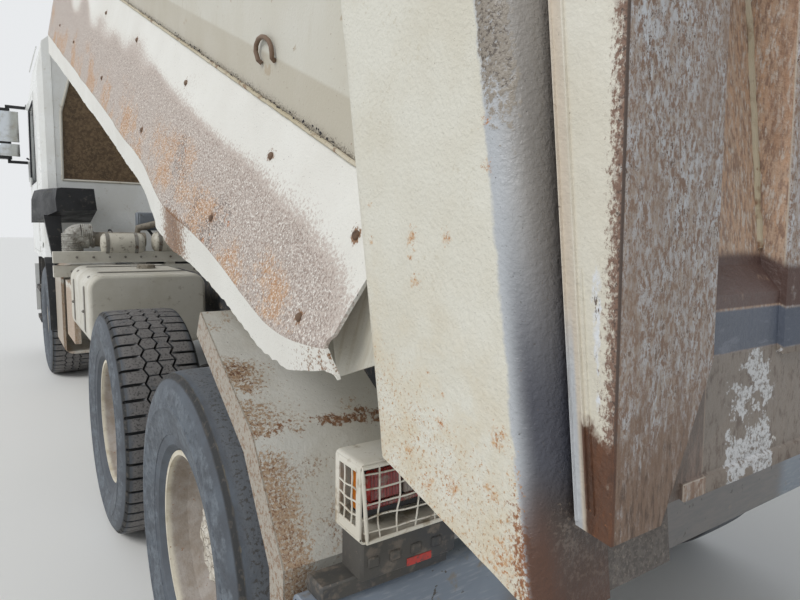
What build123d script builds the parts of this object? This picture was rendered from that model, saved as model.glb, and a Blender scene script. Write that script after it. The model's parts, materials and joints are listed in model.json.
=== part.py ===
from build123d import *
import math
import os

# Three-axle tipper lorry with a raised rock body. Millimetres.
# The lorry faces -Y, its left side is +X, the ground is Z = 0.

# Driving dimensions: axles and wheels
FRONT_AXLE_Y = -2573
MID_AXLE_Y = FRONT_AXLE_Y + 3700
REAR_AXLE_Y = MID_AXLE_Y + 1430
TYRE_R = 540
TYRE_W = 385
WHEEL_X = 1047
RIM_R = 298
KINGPIN_X = 860
HUB_R = 110

# Driving dimensions: chassis
RAIL_X = 400
RAIL_FLANGE = 80
RAIL_T = 10
RAIL_Z0 = 740
RAIL_Z1 = 1020
SUBFRAME_Z1 = 1130
RAIL_FRONT_Y = FRONT_AXLE_Y - 1180
BAR_Y0 = REAR_AXLE_Y + 707
BAR_Y1 = REAR_AXLE_Y + 787
LAMP_Y0 = REAR_AXLE_Y + 731
PROP_X = -190
SPINDLE_R = 60
STUB_R = 50

# Driving dimensions: tipping body, measured lowered from its hinge pin
HINGE_Y = REAR_AXLE_Y + 690
HINGE_Z = 1060
TIP_ANGLE = 22.5
BED_FRONT = -4350
FLOOR_U = 430
TOP_U = 1700
RAKE = 30.0
REAR_R = 600
REAR_U = 350
POST_RAKE = 34.2
POST_R = 315
POST_U = 292
BEND_RAKE = 32.6
BEND_R = 579
BEND_U = 351
RIB_RAKE = 24.5
RIB_R = 609
RIB_U = 428
PLATE = 30
LINER = 8
GATE_GAP = 6

# Driving dimensions: under-body hoist
HOIST_Y = HINGE_Y - 2750
HOIST_Z = 960
EYE_R = -2750
EYE_U = 110
EYE_R_OUT = 72
EYE_R_IN = 58
STAGES = 4
STAGE_L = 600
STAGE_TRAVEL = 260
BARREL_TOP = 130
STAGE_RADII = [105, 88, 72, 56, 40]
TRUNNION_R = 30

# Driving dimensions: cab
CAB_REAR_Y = FRONT_AXLE_Y + 350
CAB_FRONT_Y = FRONT_AXLE_Y - 1330
CAB_X = 1240
CAB_Z0 = 1160
CAB_Z1 = 3180
WALL = 50
CLEAR = 6
PIN_PLAY = 0.05

os.makedirs("parts", exist_ok=True)


def slab(points, axis, start, end):
    """A flat outline drawn across the named axis and pushed from start to end."""
    place = {
        "x": lambda a, b: (start, a, b),
        "y": lambda a, b: (a, start, b),
        "z": lambda a, b: (a, b, start),
    }[axis]
    along = {"x": (1, 0, 0), "y": (0, 1, 0), "z": (0, 0, 1)}[axis]
    outline = Wire.make_polygon([place(a, b) for a, b in points], close=True)
    return extrude(Face(outline), amount=end - start, dir=along)


def block(x0, x1, y0, y1, z0, z1):
    """A square block between two corners."""
    return Pos((x0 + x1) / 2, (y0 + y1) / 2, (z0 + z1) / 2) * Box(x1 - x0, y1 - y0, z1 - z0)


def rod_x(radius, x0, x1, y, z):
    """A round bar along X."""
    return Pos((x0 + x1) / 2, y, z) * Rot(0, 90, 0) * Cylinder(radius, x1 - x0)


def rod_y(radius, y0, y1, x, z):
    """A round bar along Y."""
    return Pos(x, (y0 + y1) / 2, z) * Rot(90, 0, 0) * Cylinder(radius, y1 - y0)


def rod_z(radius, z0, z1, x, y):
    """A round bar along Z."""
    return Pos(x, y, (z0 + z1) / 2) * Cylinder(radius, z1 - z0)


def both_sides(shape):
    """The shape and its mirror image on the other side of the lorry."""
    return Compound([*shape.solids(), *mirror(shape, about=Plane.YZ).solids()])


def turned(profile):
    """A ring turned about the X axis from (offset along X, radius) points."""
    outline = Wire.make_polygon([(x, 0, r) for x, r in profile], close=True)
    return revolve(Face(outline), axis=Axis.X)


def at_wheel(shape, side, y, x=WHEEL_X):
    """Places a wheel piece built at the origin with its outer face on +X."""
    placed = Pos(x, y, TYRE_R) * shape
    return placed if side > 0 else mirror(placed, about=Plane.YZ)


def tipped(shape):
    """Turns a piece drawn on the lowered body up about the hinge pin."""
    return Pos(0, HINGE_Y, HINGE_Z) * Rot(-TIP_ANGLE, 0, 0) * shape


def raked(u):
    """Rear end of the tipping body, at height u above its hinge pin."""
    return REAR_R - (u - REAR_U) * math.tan(math.radians(RAKE))


def save(shape, node):
    solids = shape.solids()
    export_step(solids[0] if len(solids) == 1 else Compound(solids), f"parts/{node}.step")


# Wheels
TYRE_FACES = 60


def tyre():
    """Tyre as a closed skin of flat faces, one row of them at the bottom, so that six tyres stay light."""
    half = TYRE_W / 2
    # offset from the wheel's middle, radius
    section = [
        (half, 425), (half - 45, 300.4), (45 - half, 300.4), (-half, 425), (32 - half, 533), (72 - half, TYRE_R),
        (half - 72, TYRE_R), (half - 32, 533),
    ]
    rings = []
    for x, radius in section:
        reach = radius / math.cos(math.pi / TYRE_FACES)
        angles = [2 * math.pi * (k + 0.5) / TYRE_FACES for k in range(TYRE_FACES)]
        rings.append([(x, reach * math.sin(angle), reach * math.cos(angle)) for angle in angles])
    faces = []
    for ring, following in zip(rings, rings[1:] + rings[:1]):
        for k in range(TYRE_FACES):
            corners = [ring[k - 1], ring[k], following[k], following[k - 1]]
            faces.append(Face(Wire.make_polygon(corners, close=True)))
    return Solid(Shell(faces))


def dished_rim():
    """Wide single rim with its disc set deep inside."""
    lip = TYRE_W / 2 - 42
    barrel = turned([
        (lip, 285), (lip, RIM_R + 1.5), (lip - 14, RIM_R + 1.5), (lip - 16, 286), (lip - 60, 284), (lip - 110, 262),
        (60 - lip, 262), (20 - lip, 284), (16 - lip, RIM_R + 1.5), (-lip, RIM_R + 1.5), (-lip, 276),
        (40 - lip, 250), (lip - 118, 250), (lip - 66, 272),
    ])
    bore = SPINDLE_R + PIN_PLAY
    disc = turned([(-80, bore), (-80, 255), (-64, 255), (-64, bore)])
    hub = turned([(-66, bore), (-66, 175), (-30, 170), (0, 120), (70, 112), (84, 60), (84, 0), (24, 0), (24, bore)])
    drum = turned([(-78, bore), (-78, 205), (-170, 205), (-170, bore)])
    rim = barrel + disc + hub + drum
    for k in range(8):
        angle = k * 45 + 22.5
        rim -= Rot(angle, 0, 0) * Pos(-72, 0, 214) * Rot(0, 90, 0) * Cylinder(24, 40)
    return rim


def steer_rim():
    """Rim of a steered wheel, with its disc near the outer face."""
    lip = TYRE_W / 2 - 42
    barrel = turned([
        (lip, 285), (lip, RIM_R + 1.5), (lip - 14, RIM_R + 1.5), (lip - 16, 286), (lip - 60, 284), (lip - 110, 262),
        (60 - lip, 262), (20 - lip, 284), (16 - lip, RIM_R + 1.5), (-lip, RIM_R + 1.5), (-lip, 276),
        (40 - lip, 250), (lip - 118, 250), (lip - 66, 272),
    ])
    bore = STUB_R + PIN_PLAY
    disc = turned([(70, bore), (70, 170), (40, 255), (56, 256), (88, 172), (88, bore)])
    hub = turned([(20, bore), (20, 90), (72, 90), (72, HUB_R + 30), (110, HUB_R), (150, 70), (150, 0), (122, 0),
                  (122, bore)])
    rim = barrel + disc + hub
    for k in range(8):
        angle = k * 45 + 22.5
        rim -= Rot(angle, 0, 0) * Pos(62, 0, 212) * Rot(0, 90, 0) * Cylinder(22, 80)
    return rim


tyre_solid = tyre()
rear_rim_solid = dished_rim()
front_rim_solid = steer_rim()
# name, side, axle place along Y, rim
WHEELS = [
    ("front_left", 1, FRONT_AXLE_Y, front_rim_solid),
    ("front_right", -1, FRONT_AXLE_Y, front_rim_solid),
    ("mid_left", 1, MID_AXLE_Y, rear_rim_solid),
    ("mid_right", -1, MID_AXLE_Y, rear_rim_solid),
    ("rear_left", 1, REAR_AXLE_Y, rear_rim_solid),
    ("rear_right", -1, REAR_AXLE_Y, rear_rim_solid),
]
for name, side, axle_y, rim_solid in WHEELS:
    save(at_wheel(tyre_solid, side, axle_y), f"tyre_{name}")
    save(at_wheel(rim_solid, side, axle_y), f"rim_{name}")


# Chassis frame: two channel rails, cross members and the tipping sub-frame
def chassis_frame():
    rail_end = HINGE_Y - 60
    inner = RAIL_X - RAIL_FLANGE
    channel = [
        (RAIL_X, RAIL_Z0), (RAIL_X, RAIL_Z1), (inner, RAIL_Z1), (inner, RAIL_Z1 - RAIL_T),
        (RAIL_X - RAIL_T, RAIL_Z1 - RAIL_T), (RAIL_X - RAIL_T, RAIL_Z0 + RAIL_T),
        (inner, RAIL_Z0 + RAIL_T), (inner, RAIL_Z0),
    ]
    rail = slab(channel, "y", RAIL_FRONT_Y, rail_end)
    sub_front = HINGE_Y + BED_FRONT + 60
    sub = block(inner, RAIL_X, sub_front, HINGE_Y - 60, RAIL_Z1, SUBFRAME_Z1)
    ear = slab(
        [(HINGE_Y - 420, 780), (HINGE_Y - 420, 1010), (HINGE_Y - 50, HINGE_Z + 45), (HINGE_Y + 45, HINGE_Z + 45),
         (HINGE_Y + 60, HINGE_Z - 50), (HINGE_Y - 120, 780)],
        "x", RAIL_X, RAIL_X + 24)
    ear -= rod_x(25, RAIL_X - 10, RAIL_X + 40, HINGE_Y, HINGE_Z)
    side = rail + sub + ear
    frame = side + mirror(side, about=Plane.YZ)
    web = RAIL_X - RAIL_T
    # place along Y, depth along Y, lowest and highest point
    members = [
        (RAIL_FRONT_Y + 60, 60, 800, 960), (FRONT_AXLE_Y + 1080, 90, 800, 900), (MID_AXLE_Y - 1100, 90, 800, 980),
        (MID_AXLE_Y - 330, 90, 800, 980), (MID_AXLE_Y + 715, 160, 780, 980), (rail_end - 70, 120, 780, 1000),
    ]
    for y, depth, z0, z1 in members:
        frame += block(-web, web, y - depth / 2, y + depth / 2, z0, z1)
    hinge_pin = rod_x(25, -RAIL_X - 60, RAIL_X + 60, HINGE_Y, HINGE_Z)
    # bearings of the hoist's cross shaft
    bearing = block(170, web, HOIST_Y - 60, HOIST_Y + 60, HOIST_Z - 70, HOIST_Z + 50)
    bearing -= rod_x(TRUNNION_R + PIN_PLAY, 100, 204, HOIST_Y, HOIST_Z)
    return frame + hinge_pin + bearing + mirror(bearing, about=Plane.YZ)


save(chassis_frame(), "chassis_frame")


def engine_block():
    """Engine and gearbox as one plain closed mass under the cab floor."""
    engine = block(-290, 290, FRONT_AXLE_Y - 700, FRONT_AXLE_Y + 330, 640, 1090)
    gearbox = block(-290, 220, FRONT_AXLE_Y + 330, FRONT_AXLE_Y + 980, 600, 980)
    return engine + gearbox


save(engine_block(), "engine_block")


def propshafts():
    front = rod_y(55, FRONT_AXLE_Y + 980, MID_AXLE_Y - 270, PROP_X, 690)
    flange = rod_y(80, FRONT_AXLE_Y + 980, FRONT_AXLE_Y + 1020, PROP_X, 690)
    rear = rod_y(50, MID_AXLE_Y + 270, REAR_AXLE_Y - 270, PROP_X, 620)
    return Compound([*(front + flange).solids(), *rear.solids()])


save(propshafts(), "propshafts")


# Axles and springs
def front_axle():
    """Drop-centre beam with an eye for each kingpin."""
    beam = slab(
        [(-790, 560), (-640, 560), (-560, 470), (560, 470), (640, 560), (790, 560),
         (790, 460), (660, 460), (580, 370), (-580, 370), (-660, 460), (-790, 460)],
        "y", FRONT_AXLE_Y - 50, FRONT_AXLE_Y + 50)
    for side in (-1, 1):
        eye = rod_z(58, 450, 570, side * KINGPIN_X, FRONT_AXLE_Y)
        beam += eye + block(min(side * 780, side * KINGPIN_X), max(side * 780, side * KINGPIN_X),
                            FRONT_AXLE_Y - 50, FRONT_AXLE_Y + 50, 460, 560)
        beam -= rod_z(24, 440, 580, side * KINGPIN_X, FRONT_AXLE_Y)
    return beam


save(front_axle(), "front_axle")


def drive_axle(y):
    """Driven axle: banjo housing, tubes and hub carriers."""
    casing = rod_x(205, PROP_X - 95, PROP_X + 95, y, TYRE_R)
    nose = rod_y(120, y - 270, y + 270, PROP_X, TYRE_R + 60)
    tube = rod_x(78, -866, 866, y, TYRE_R)
    spindle = rod_x(SPINDLE_R, -WHEEL_X - 18, WHEEL_X + 18, y, TYRE_R)
    return casing + nose + tube + spindle


def drive_axles():
    return Compound([*drive_axle(MID_AXLE_Y).solids(), *drive_axle(REAR_AXLE_Y).solids()])


save(drive_axles(), "drive_axles")


def leaf_pack(centre_y, z_middle, rise, reaches, step, x0, x1):
    """Spring leaves as one stepped outline, the longest first and each next one a step further from it."""
    span = 760

    def run(start, end, level):
        points = []
        for k in range(5):
            y = start + (end - start) * k / 4
            points.append((centre_y + y, z_middle + level + rise * (y / span) ** 2))
        return points

    outline = run(-reaches[0], 0, -step) + run(0, reaches[0], -step)[1:]
    inner = reaches[1:] + [0]
    for k, reach in enumerate(reaches):
        outline += run(reach, inner[k], step * k)
    outline.pop()
    for k in range(len(reaches) - 1, -1, -1):
        outline += run(-inner[k], -reaches[k], step * k)
    return slab(outline, "x", x0, x1)


def leaf_springs():
    """Front springs on the beam and the rear bogie's balancing springs, leaf by leaf."""
    x0, x1 = RAIL_X + 4, RAIL_X + 90
    front = leaf_pack(FRONT_AXLE_Y, 542, 145, [800, 640, 500, 360], -16, x0, x1)
    front += block(x0, x1, FRONT_AXLE_Y - 60, FRONT_AXLE_Y + 60, 470.3, 500)
    for y in (FRONT_AXLE_Y - 860, FRONT_AXLE_Y + 760):
        front += block(x0, x1, y, y + 100, 690, 860) + block(RAIL_X, x0, y, y + 100, 760, 860)
    middle = (MID_AXLE_Y + REAR_AXLE_Y) / 2
    bogie = leaf_pack(middle, 776, -145, [735, 640, 500, 380, 260], 16, x0, x1)
    for y in (MID_AXLE_Y, REAR_AXLE_Y):
        bogie += block(x0, x1, y - 40, y + 40, 618.3, 642)
    bogie += slab(
        [(middle - 150, 750), (middle + 150, 750), (middle + 110, 940), (middle - 110, 940)],
        "x", RAIL_X, x1 + 20)
    side = Compound([*front.solids(), *bogie.solids()])
    return both_sides(side)


save(leaf_springs(), "leaf_springs")


def knuckle(side):
    """Forked steering knuckle with its stub shaft, hub and track-rod arm."""
    fork = block(KINGPIN_X - 62, KINGPIN_X + 70, -62, 62, 380, 640)
    fork -= block(KINGPIN_X - 70, KINGPIN_X + 62, -70, 70, 444, 576)
    pin = rod_z(23.95, 380, 640, KINGPIN_X, 0)
    stub = rod_x(STUB_R, KINGPIN_X + 68, WHEEL_X + 116, 0, TYRE_R)
    drum = rod_x(180, KINGPIN_X + 75, WHEEL_X + 10, 0, TYRE_R)
    arm = slab([(KINGPIN_X - 60, 50), (KINGPIN_X + 20, 50), (KINGPIN_X - 40, 250), (KINGPIN_X - 120, 250)],
               "z", 384, 410)
    shape = fork + pin + stub + drum + arm
    placed = Pos(0, FRONT_AXLE_Y, 0) * shape
    return placed if side > 0 else mirror(placed, about=Plane.YZ)


save(knuckle(1), "knuckle_left")
save(knuckle(-1), "knuckle_right")


def tie_rod():
    """Track rod behind the front axle, its ends just under the knuckle arms."""
    y = FRONT_AXLE_Y + 215
    reach = KINGPIN_X - 70
    rod = rod_x(18, -reach, reach, y, 350)
    ends = rod_z(34, 326, 377, reach, y) + rod_z(34, 326, 377, -reach, y)
    return rod + ends


save(tie_rod(), "tie_rod")


# Pieces along the chassis
def fuel_tank():
    y0, y1 = MID_AXLE_Y - 1700, MID_AXLE_Y - 763
    shape = block(500, 1184, y0, y1, 750, 1195)
    shape = fillet(shape.edges().filter_by(Axis.Y), 90)
    shape = fillet(shape.edges().filter_by(lambda e: abs(e.center().Y - y1) < 1), 25)
    bearer = block(RAIL_X, 520, y0 + 120, y0 + 200, 800, 900) + block(RAIL_X, 520, y1 - 200, y1 - 120, 800, 900)
    return shape + bearer


save(fuel_tank(), "fuel_tank")


def battery_box():
    """Battery box and two air reservoirs on the right."""
    box = block(-1160, -520, MID_AXLE_Y - 1500, MID_AXLE_Y - 820, 640, 1080)
    box = fillet(box.edges().filter_by(Axis.Y), 30)
    bearer = block(-540, -RAIL_X, MID_AXLE_Y - 1300, MID_AXLE_Y - 1020, 760, 900)
    tank_a = rod_y(130, MID_AXLE_Y - 2150, MID_AXLE_Y - 1540, -660, 800)
    tank_b = rod_y(130, MID_AXLE_Y - 2150, MID_AXLE_Y - 1540, -960, 800)
    tie = block(-1000, -RAIL_X, MID_AXLE_Y - 1960, MID_AXLE_Y - 1900, 915, 945)
    return Compound([*(box + bearer).solids(), *(tank_a + tank_b + tie).solids()])


save(battery_box(), "battery_box")


def cross_beam():
    """Two pressed beams across the frame behind the cab that carry the cab's rear mounts and tanks."""
    y = FRONT_AXLE_Y + 1430
    upper = block(-1150, 1245, y - 100, y - 10, 1178, 1268)
    lower = block(-1150, 1245, y - 94, y - 16, 1066, 1156)
    post = block(RAIL_X - 80, RAIL_X, y - 90, y - 20, RAIL_Z1, 1180)
    return upper + lower + post + mirror(post, about=Plane.YZ)


save(cross_beam(), "cross_beam")


def exhaust():
    """Silencer with its lagged elbow behind the cab."""
    y = FRONT_AXLE_Y + 1150
    silencer = rod_x(170, 480, 900, y, 720)
    riser = rod_z(60, 800, 1360, 570, y)
    run = rod_x(60, 510, 1080, y, 1360)
    elbow = rod_z(75, 1196, 1410, 1080, y) + rod_x(75, 960, 1100, y, 1360)
    bracket = block(RAIL_X, 500, y - 40, y + 40, 780, 860)
    return silencer + riser + run + elbow + bracket


save(exhaust(), "exhaust")


def air_filter_housing():
    """Angular black housing behind the cab, wider towards the front, on its tapered support."""
    y0, y1 = CAB_REAR_Y + 60, CAB_REAR_Y + 537
    # X, Z of the corners at each end
    rear = [(850, 1610), (868, 1795), (1120, 1795), (1155, 1785), (1168, 1700), (1161, 1594)]
    front = [(850, 1500), (868, 1795), (1240, 1795), (1296, 1778), (1322, 1700), (1330, 1490)]
    ends = []
    for outline, y in ((front, y0), (rear, y1)):
        ends.append(Face(Wire.make_polygon([(x, y, z) for x, z in outline], close=True)))
    shape = loft(ends, ruled=True)
    support = slab([(1090, 1000), (1120, 1560), (1250, 1560), (1170, 1000)], "y", y0 + 200, y0 + 290)
    foot = block(RAIL_X, 1150, y0 + 200, y0 + 290, 960, 1010)
    return shape + support + foot


save(air_filter_housing(), "air_filter_housing")


def side_covers():
    """Rounded guard behind the front wheel and a flat panel ahead of the tank."""
    y0, y1 = FRONT_AXLE_Y + 760, FRONT_AXLE_Y + 1300
    panel_y0, panel_y1 = FRONT_AXLE_Y + 1460, MID_AXLE_Y - 1730
    guard = block(700, 1190, y0, y1, 420, 1150)
    guard = fillet(guard.edges().filter_by(Axis.Y), 80)
    guard -= block(660, 1170, y0 + 20, y1 + 20, 440, 1130)
    bearer = block(RAIL_X, 720, y0 + 120, y0 + 180, 1040, 1120)
    bearer += block(RAIL_X, RAIL_X + 40, y0 + 120, y0 + 180, 900, 1120)
    panel = block(1130, 1170, panel_y0, panel_y1, 620, 1050)
    panel += block(RAIL_X, 1140, panel_y0 + 180, panel_y0 + 230, 860, 910)
    return Compound([*(guard + bearer).solids(), *panel.solids()])


save(side_covers(), "side_covers")


def front_bumper():
    y0 = FRONT_AXLE_Y - 1400
    outline = [(-1240, y0 + 120), (-1130, y0), (1130, y0), (1240, y0 + 120), (1240, y0 + 132), (1190, y0 + 132),
               (1190, y0 + 128), (1100, y0 + 60), (-1100, y0 + 60), (-1190, y0 + 128), (-1190, y0 + 132),
               (-1240, y0 + 132)]
    bumper = slab(outline, "z", 480, 1020)
    for side in (-1, 1):
        lamp_x = side * 900
        bumper -= block(lamp_x - 150, lamp_x + 150, y0 - 10, y0 + 30, 640, 860)
    bumper -= rod_y(45, y0 - 10, y0 + 100, 0, 620)
    stay = block(RAIL_X - 70, RAIL_X, y0 + 50, RAIL_FRONT_Y, 780, 960)
    return bumper + stay + mirror(stay, about=Plane.YZ)


save(front_bumper(), "front_bumper")


def head_lamps():
    y0 = FRONT_AXLE_Y - 1400
    lamp = block(755, 1045, y0 + 4, y0 + 30, 645, 855)
    return both_sides(lamp)


save(head_lamps(), "head_lamps")


def cab_steps():
    """Two treads below each door, hung from the bumper side."""
    y0 = FRONT_AXLE_Y - 1260
    y1 = FRONT_AXLE_Y - 760
    side = block(900, 1200, y0, y0 + 30, 400, 1100) + block(900, 1200, y1 - 30, y1, 400, 1100)
    for z in (400, 740):
        side += block(900, 1230, y0, y1, z, z + 40)
    side += block(RAIL_X, 920, y0 + 60, y0 + 140, 760, 860)
    return both_sides(side)


save(cab_steps(), "cab_steps")


def arc_guard(centre_y, radius, thick, start, end, x0, x1):
    """A mudguard's curved sheet about an axle, angles from the rear upwards."""
    steps = 8
    outer = []
    inner = []
    for k in range(steps + 1):
        angle = math.radians(start + (end - start) * k / steps)
        outer.append((centre_y + (radius + thick) * math.cos(angle), TYRE_R + (radius + thick) * math.sin(angle)))
        inner.append((centre_y + radius * math.cos(angle), TYRE_R + radius * math.sin(angle)))
    return slab(outer + inner[::-1], "x", x0, x1)


def front_mudguards():
    shell = arc_guard(FRONT_AXLE_Y, 712, 20, 0, 60, 800, 1240)
    stay = block(RAIL_X, 810, FRONT_AXLE_Y + 640, FRONT_AXLE_Y + 700, 820, 880)
    return both_sides(shell + stay)


save(front_mudguards(), "front_mudguards")


def rear_mudguards():
    """Folded guard behind each rear wheel, with a turned-down outer edge."""
    # outer line from the top, then the inner line back: Y from the axle, Z
    sheet = [(150, 1278), (522, 1060), (690, 830), (690, 700), (680, 700), (680, 826), (515, 1051), (145, 1269)]
    edge = [(150, 1278), (522, 1060), (690, 830), (690, 700), (622, 700), (618, 800), (470, 1003), (112, 1212)]
    shell = slab([(REAR_AXLE_Y + y, z) for y, z in sheet], "x", 840, 1193)
    shell += slab([(REAR_AXLE_Y + y, z) for y, z in edge], "x", 1185, 1193)
    stay = block(RAIL_X + 24, 860, REAR_AXLE_Y + 560, REAR_AXLE_Y + 620, 900, 960)
    return both_sides(shell + stay)


save(rear_mudguards(), "rear_mudguards")


def underrun_bar():
    y0, y1 = BAR_Y0, BAR_Y1
    bar = block(-1180, 1180, y0, y1, 555, 800)
    bar = fillet(bar.edges().filter_by(Axis.X), 30)
    stay = block(RAIL_X - 60, RAIL_X + 50, HINGE_Y - 300, y0 + 10, 600, 734)
    hanger = block(RAIL_X + 24, RAIL_X + 50, HINGE_Y - 300, HINGE_Y - 160, 700, 900)
    side = stay + hanger
    return bar + side + mirror(side, about=Plane.YZ)


save(underrun_bar(), "underrun_bar")


def lamp_guards():
    """Steel boxes round the rear lamps, with wire grids behind and at the side, on brackets from the bar."""
    x0, x1 = 640, 1100
    y0, y1 = LAMP_Y0, LAMP_Y0 + 98
    z0, z1 = 920, 1077
    box = block(x0, x1, y0, y1, z0, z1) - block(x0 + 4, x1 - 4, y0 + 4, y1 + 20, z0 + 4, z1 - 4)
    box -= block(x1 - 10, x1 + 10, y0 + 10, y1 - 14, z0 + 30, z1 - 18)
    wire = 5
    for k in range(10):
        x = x0 + 20 + 44 * k
        box += block(x, x + wire, y1 - wire, y1, z0, z1)
    for k in range(5):
        z = z0 + 16 + 29 * k
        box += block(x0, x1, y1 - wire - 4, y1 - wire + 1, z, z + wire)
    for k in range(3):
        z = z0 + 50 + 25 * k
        box += block(x1 - wire, x1, y0 + 8, y1 - 12, z, z + wire)
    for y in (y0 + 32, y0 + 60):
        box += block(x1 - wire, x1, y, y + wire, z0 + 28, z1 - 16)
    bracket = block(x0 + 20, x1 - 20, y0 + 16, y0 + 46, 800.3, z0 + 2)
    return both_sides(box + bracket)


save(lamp_guards(), "lamp_guards")


def tail_lamps():
    lamp = block(665, 1075, LAMP_Y0 + 4.3, LAMP_Y0 + 72, 945, 1056)
    return both_sides(lamp)


save(tail_lamps(), "tail_lamps")


# Tipping body, drawn lowered in (X, u, r) from the hinge pin and then tipped
def skin_section(inset):
    """The body's cross section, as X and height u above the pin, drawn inwards by a plate thickness."""
    half = [
        (1010 - inset * 0.2, FLOOR_U + inset), (1120 - inset * 0.8, 480 + inset * 0.7),
        (1172 - inset, 575 + inset * 0.2), (1230 - inset, TOP_U),
    ]
    return half + [(-x, u) for x, u in half[::-1]]


def post_front(u):
    """Front edge of the corner post at height u."""
    return POST_R - (u - POST_U) * math.tan(math.radians(POST_RAKE))


def post_bend(u):
    """Line where the corner post starts to turn in behind the body."""
    return BEND_R - (u - BEND_U) * math.tan(math.radians(BEND_RAKE))


def post_section(u):
    """Level section of the corner post: flat outer face, rounded turn, closing face."""
    turn = raked(u) - post_bend(u)
    corners = [(1120, post_front(u)), (1222, post_front(u)), (1222, post_bend(u))]
    for x, share in ((1219, 0.35), (1210, 0.68), (1197, 0.9), (1180, 1.0)):
        corners.append((x, post_bend(u) + turn * share))
    corners.append((1120, raked(u)))
    return Face(Wire.make_polygon([(x, r, u) for x, r in corners], close=True))


def bed_shell():
    outer = slab(skin_section(0), "y", BED_FRONT, 900)
    inner = slab([(x, u + (10 if u == TOP_U else 0)) for x, u in skin_section(PLATE)], "y", BED_FRONT + PLATE, 950)
    shell = outer - inner
    # rear end cut to the rake, along the line that the tailgate closes on
    cut = slab([(raked(0), 0), (raked(2000), 2000), (2500, 2000), (2500, 0)], "x", -1500, 1500)
    shell -= cut
    post = loft([post_section(POST_U - 60), post_section(TOP_U)], ruled=True)
    # closed corner under the floor, beside the post
    foot_front = 470
    post += slab([(foot_front, POST_U), (raked(POST_U), POST_U), (raked(450), 450), (foot_front, 450)], "x", 1020, 1182)
    # lower end of the post: a sloping cut that rises to the rear
    slope = (BEND_U - 18 - POST_U) / (BEND_R - 6 - POST_R)
    post -= slab([(0, 0), (0, POST_U - slope * POST_R), (900, POST_U + slope * (900 - POST_R)), (900, 0)], "x", 900, 1300)
    rim = slab([(1150, TOP_U - 120), (1245, TOP_U - 120), (1260, TOP_U - 20), (1240, TOP_U + 20), (1160, TOP_U + 20)],
               "y", BED_FRONT, raked(TOP_U) - 250)
    sill = block(RAIL_X - 70, RAIL_X, BED_FRONT + 40, 150, SUBFRAME_Z1 - HINGE_Z + CLEAR, FLOOR_U)
    ear = slab([(-180, FLOOR_U), (-70, -30), (0, -70), (60, -40), (150, FLOOR_U)], "x", RAIL_X + 30, RAIL_X + 54)
    ear_root = block(RAIL_X - 20, RAIL_X + 54, -180, 150, FLOOR_U - 60, FLOOR_U)
    ear -= rod_x(25 + PIN_PLAY, RAIL_X, RAIL_X + 80, 0, 0)
    side = post + rim + sill + ear + ear_root
    for r in (-4200, -3300, -2400, -1500, -600):
        side += block(0, 1005, r, r + 80, 300, FLOOR_U)
    shell += side + mirror(side, about=Plane.YZ)
    liner = block(-980, 980, BED_FRONT + 60, 480, FLOOR_U + PLATE - 1, FLOOR_U + PLATE + LINER)
    board = block(-1230, 1230, BED_FRONT, BED_FRONT + PLATE, TOP_U - 40, TOP_U + 200)
    hoist_cheek = block(60, 90, EYE_R - 60, EYE_R + 60, EYE_U - 50, FLOOR_U + 10)
    hoist_pin = rod_x(20, -90, 90, EYE_R, EYE_U)
    shell += liner + board + hoist_cheek + mirror(hoist_cheek, about=Plane.YZ) + hoist_pin
    hinge_lug = slab([(raked(TOP_U) - 90, TOP_U - 60), (raked(TOP_U) - 90, TOP_U + 90),
                      (raked(TOP_U) - 3, TOP_U + 90), (raked(TOP_U) - 3, TOP_U - 60)], "x", 1150, 1190)
    hinge_lug -= rod_x(20 + PIN_PLAY, 1100, 1250, raked(TOP_U) - 30, TOP_U + 50)
    shell += hinge_lug + mirror(hinge_lug, about=Plane.YZ)
    return shell


def bed_skirts():
    """Deflector plate along each lower side, folded in at its bottom edge."""
    # place along the body, then corners of the section as X, u
    rear = [(1172.5, 577), (1173.1, 588), (1252, 298), (1210, 240), (1202, 248), (1241, 304)]
    front = [(1172.5, 577), (1173.1, 588), (1252, 107), (1210, -18), (1202, -10), (1241, 113)]
    ends = []
    for section, r in ((rear, 200), (front, BED_FRONT + 150)):
        ends.append(Face(Wire.make_polygon([(x, r, u) for x, u in section], close=True)))
    # rear end: along the corner post, then a cut corner and the lip's end
    behind = [(post_front(700) - 3, 700), (post_front(505) - 3, 505), (177, 405), (145, 240), (140, 100), (400, 100),
              (400, 700)]
    return both_sides(loft(ends) - slab(behind, "x", 1100, 1300))


save(tipped(bed_shell()), "bed_shell")
save(tipped(bed_skirts()), "bed_skirts")


def rib_line(u):
    """Rear face of the tailgate's ribs at height u."""
    return RIB_R - (u - RIB_U) * math.tan(math.radians(RIB_RAKE))


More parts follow.
